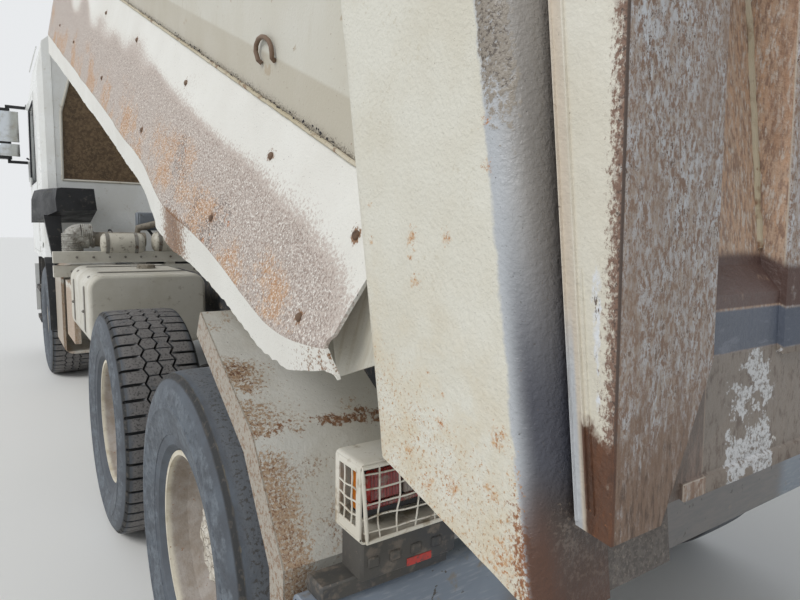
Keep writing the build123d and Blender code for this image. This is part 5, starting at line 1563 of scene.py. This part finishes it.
def make_front_details():
    """Head and fog lamps, the blank number plate and the bars on the cab's steps."""
    front = FRONT_Y - 1400
    glass, rings, fog = Pile(both_sides=True), Pile(both_sides=True), Pile(both_sides=True)
    glass.block(760, 1040, front + 1, front + 10, 650, 850, 8)
    for x in (830, 970):
        rings.spun([(0, 62), (-10, 58), (-14, 40), (-14, 4)], (x, front + 16, 750), (0, 1, 0), 28)
    fog.spun([(0, 46), (8, 44), (12, 20)], (560, front + 2, 560), (0, -1, 0), 24)
    glass.finish("head_lamp_glass", "clear_lens", "chassis")
    rings.finish("head_lamp_reflectors", "hard_chrome", "chassis")
    fog.finish("fog_lamps", "clear_lens", "chassis")
    number = Pile()
    number.block(-260, 260, front - 4, front + 2, 690, 800, 2)
    number.finish("blank_number_plate", GUARD_WHITE, "chassis")
    treads = Pile(both_sides=True)
    for z in (440, 780):
        for k in range(9):
            treads.block(930 + 32 * k, 944 + 32 * k, FRONT_Y - 1215, FRONT_Y - 800, z - 1, z + 4, 1.5)
    treads.finish("step_tread_bars", STEEL_BOLT, "chassis")


def make_door_details():
    """Mirror glass, window seal and grip of each door."""
    for side, side_name in SIDES:
        body = f"door_{side_name}"
        y = FRONT_Y - 1030
        glass = Pile()
        for low, high in ((2340, 2660), (2190, 2320)):
            glass.block(side * 1428 - 92, side * 1428 + 92, y + 76, y + 83, low, high, 3)
        glass.finish(f"{side_name}_mirror_glass", MIRROR, body)
        seal = Pile()
        y0, y1, sill, top = FRONT_Y - 1000, FRONT_Y - 140, 1900, 2660
        line = [(y0, sill), (y0, 1990), (y0 + 145, top), (y1, top), (y1, sill), (y0, sill)]
        seal.tube([(side * 1240, yy, z) for yy, z in line], 9, 8)
        seal.finish(f"{side_name}_door_seal", RUBBER_SEAL, body)
        grip = Pile()
        grip.block(side * 1240 - 2, side * 1240 + 10 * side, FRONT_Y - 250, FRONT_Y - 110, 1700, 1780, 3)
        grip.spun([(0, 14), (4, 14), (5, 8)], (side * 1241, FRONT_Y - 150, 1670), (side, 0, 0), 18)
        grip.finish(f"{side_name}_handle_plate", "black_plastic", body)


def puffed(mesh, cap=0.008):
    """The cushion's cover after a short cloth run under pressure; no point moves farther than cap."""
    stage = bpy.context.scene
    pad = bpy.data.objects.new("cushion_in_work", mesh)
    stage.collection.objects.link(pad)

    def outcome():
        return bpy.data.meshes.new_from_object(pad.evaluated_get(bpy.context.evaluated_depsgraph_get()))

    even = pad.modifiers.new("even_mesh", "REMESH")
    even.mode = "VOXEL"
    # fine enough for the sewn channels, and about 260 000 triangles for the four cushions
    even.voxel_size = 0.010
    even.use_smooth_shade = True
    pad.data = outcome()
    pad.modifiers.clear()
    before = [vertex.co.copy() for vertex in pad.data.vertices]
    cover = pad.modifiers.new("cover", "CLOTH")
    cover.settings.use_pressure = True
    cover.settings.uniform_pressure_force = 4
    cover.settings.effector_weights.gravity = 0
    for moment in range(1, 21):
        stage.frame_set(moment)
    swollen = outcome()
    for vertex, start in zip(swollen.vertices, before):
        step = vertex.co - start
        if step.length > cap:
            vertex.co = start + step * (cap / step.length)
    pad.modifiers.clear()
    pad.data = swollen
    pad.modifiers.new("finer", "SUBSURF").levels = 1
    done = outcome()
    done.name = mesh.name
    bpy.data.objects.remove(pad)
    stage.frame_set(1)
    return done


# limits of the left seat's cushions along X, Y and Z
CUSHIONS = {
    "seat": (432, 898, FRONT_Y - 520, FRONT_Y - 20, 1474, 1608),
    "back": (452, 878, FRONT_Y - 120, FRONT_Y + 60, 1612, 2356),
}


def cushion_rows(part, side):
    """A cushion's slices, from the front of the seat or the foot of the back: crowned, with sewn channels."""
    x0, x1, y0, y1, z0, z1 = CUSHIONS[part]
    rows = []
    for k in range(19):
        v = k / 18
        pinch = math.sin(math.pi * min(max(v, 0.03), 0.97)) ** 0.22
        channel = 1 - 0.05 * (abs(math.sin(v * math.pi * 4)) < 0.3)
        row = []
        for c, s in around(40):
            cx = math.copysign(abs(c) ** 0.42, c)
            cy = math.copysign(abs(s) ** 0.42, s)
            x = (x0 + x1) / 2 + (x1 - x0) / 2 * cx * (0.9 + 0.1 * pinch)
            if part == "seat":
                y = y0 + (y1 - y0) * v
                z = (z0 + z1) / 2 + (z1 - z0) / 2 * cy * pinch * channel
            else:
                y = (y0 + y1) / 2 - 30 + 110 * v + (y1 - y0) / 2 * 0.72 * cy * pinch * channel
                z = z0 + (z1 - z0) * v
            row.append(in_row((side * x, y, z)))
        rows.append(row)
    return rows


def make_seats():
    """Seat and back cushions: crowned closed forms puffed by a short cloth run, on their painted bases."""
    for side, side_name in SIDES:
        for part in CUSHIONS:
            name = f"{side_name}_{part}_cushion"
            mesh = outward(net(name, cushion_rows(part, side), ring=True), fill=True)
            mesh = puffed(mesh)
            cushion = show(name, mesh, "seat_cloth", "cab")
    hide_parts("seats")
    base = Pile(both_sides=True)
    base.block(500, 830, FRONT_Y - 460, FRONT_Y - 60, 1211, 1300, 12)
    base.block(530, 800, FRONT_Y - 430, FRONT_Y - 90, 1296, 1470, 20)
    base.finish("seat_pedestals", "dash_plastic", "cab")


def make_floor():
    """A plain pale floor."""
    material, _, shader, _ = surface("pale_floor", 0.9)
    shader.inputs["Base Color"].default_value = srgb("#E9E8E4")
    mesh = bpy.data.meshes.new("floor")
    reach = 60
    corners = [(-reach, -reach, 0), (reach, -reach, 0), (reach, reach, 0), (-reach, reach, 0)]
    mesh.from_pydata(corners, [], [(0, 1, 2, 3)])
    floor = bpy.data.objects.new("floor", mesh)
    mesh.materials.append(material)
    bpy.context.scene.collection.objects.link(floor)


def make_lights():
    """A soft sky, brighter where it is seen or mirrored, and one wide sun from behind the camera's left."""
    world = bpy.data.worlds.new("studio")
    bpy.context.scene.world = world
    world.use_nodes = True
    tree = world.node_tree
    tree.nodes.clear()
    path = add(tree, "LightPath")
    seen = path.outputs["Is Camera Ray"]
    for kind in ("Is Glossy Ray", "Is Transmission Ray"):
        seen = add(tree, "Math", {"operation": "MAXIMUM"}, {0: seen, 1: path.outputs[kind]})
    dim = add(tree, "Background", None, {"Color": srgb("#E6EBF2"), "Strength": 0.62})
    bright = add(tree, "Background", None, {"Color": srgb("#EEF0F2"), "Strength": 0.95})
    mixed = add(tree, "MixShader", None, {0: seen, 1: dim, 2: bright})
    add(tree, "OutputWorld", None, {"Surface": mixed})
    data = bpy.data.lights.new("key", "SUN")
    data.energy = 1.6
    data.angle = math.radians(25)
    key = bpy.data.objects.new("key", data)
    direction = Vector((-0.72, -0.16, -0.67))
    key.rotation_euler = direction.to_track_quat("-Z", "Y").to_euler()
    bpy.context.scene.collection.objects.link(key)


make_camera()
make_floor()
make_lights()
dress_nodes()
make_tyres()
make_hub_mud()
make_wheel_nuts()
make_skirts()
make_post_skins()
make_body_details()
make_gate_details()
make_lamp_guards()
make_tail_lamps()
make_bar_details()
make_chassis_details()
make_tank_details()
make_behind_cab()
make_cab_details()
make_front_details()
make_door_details()
make_seats()
bpy.context.scene.view_settings.view_transform = "Standard"
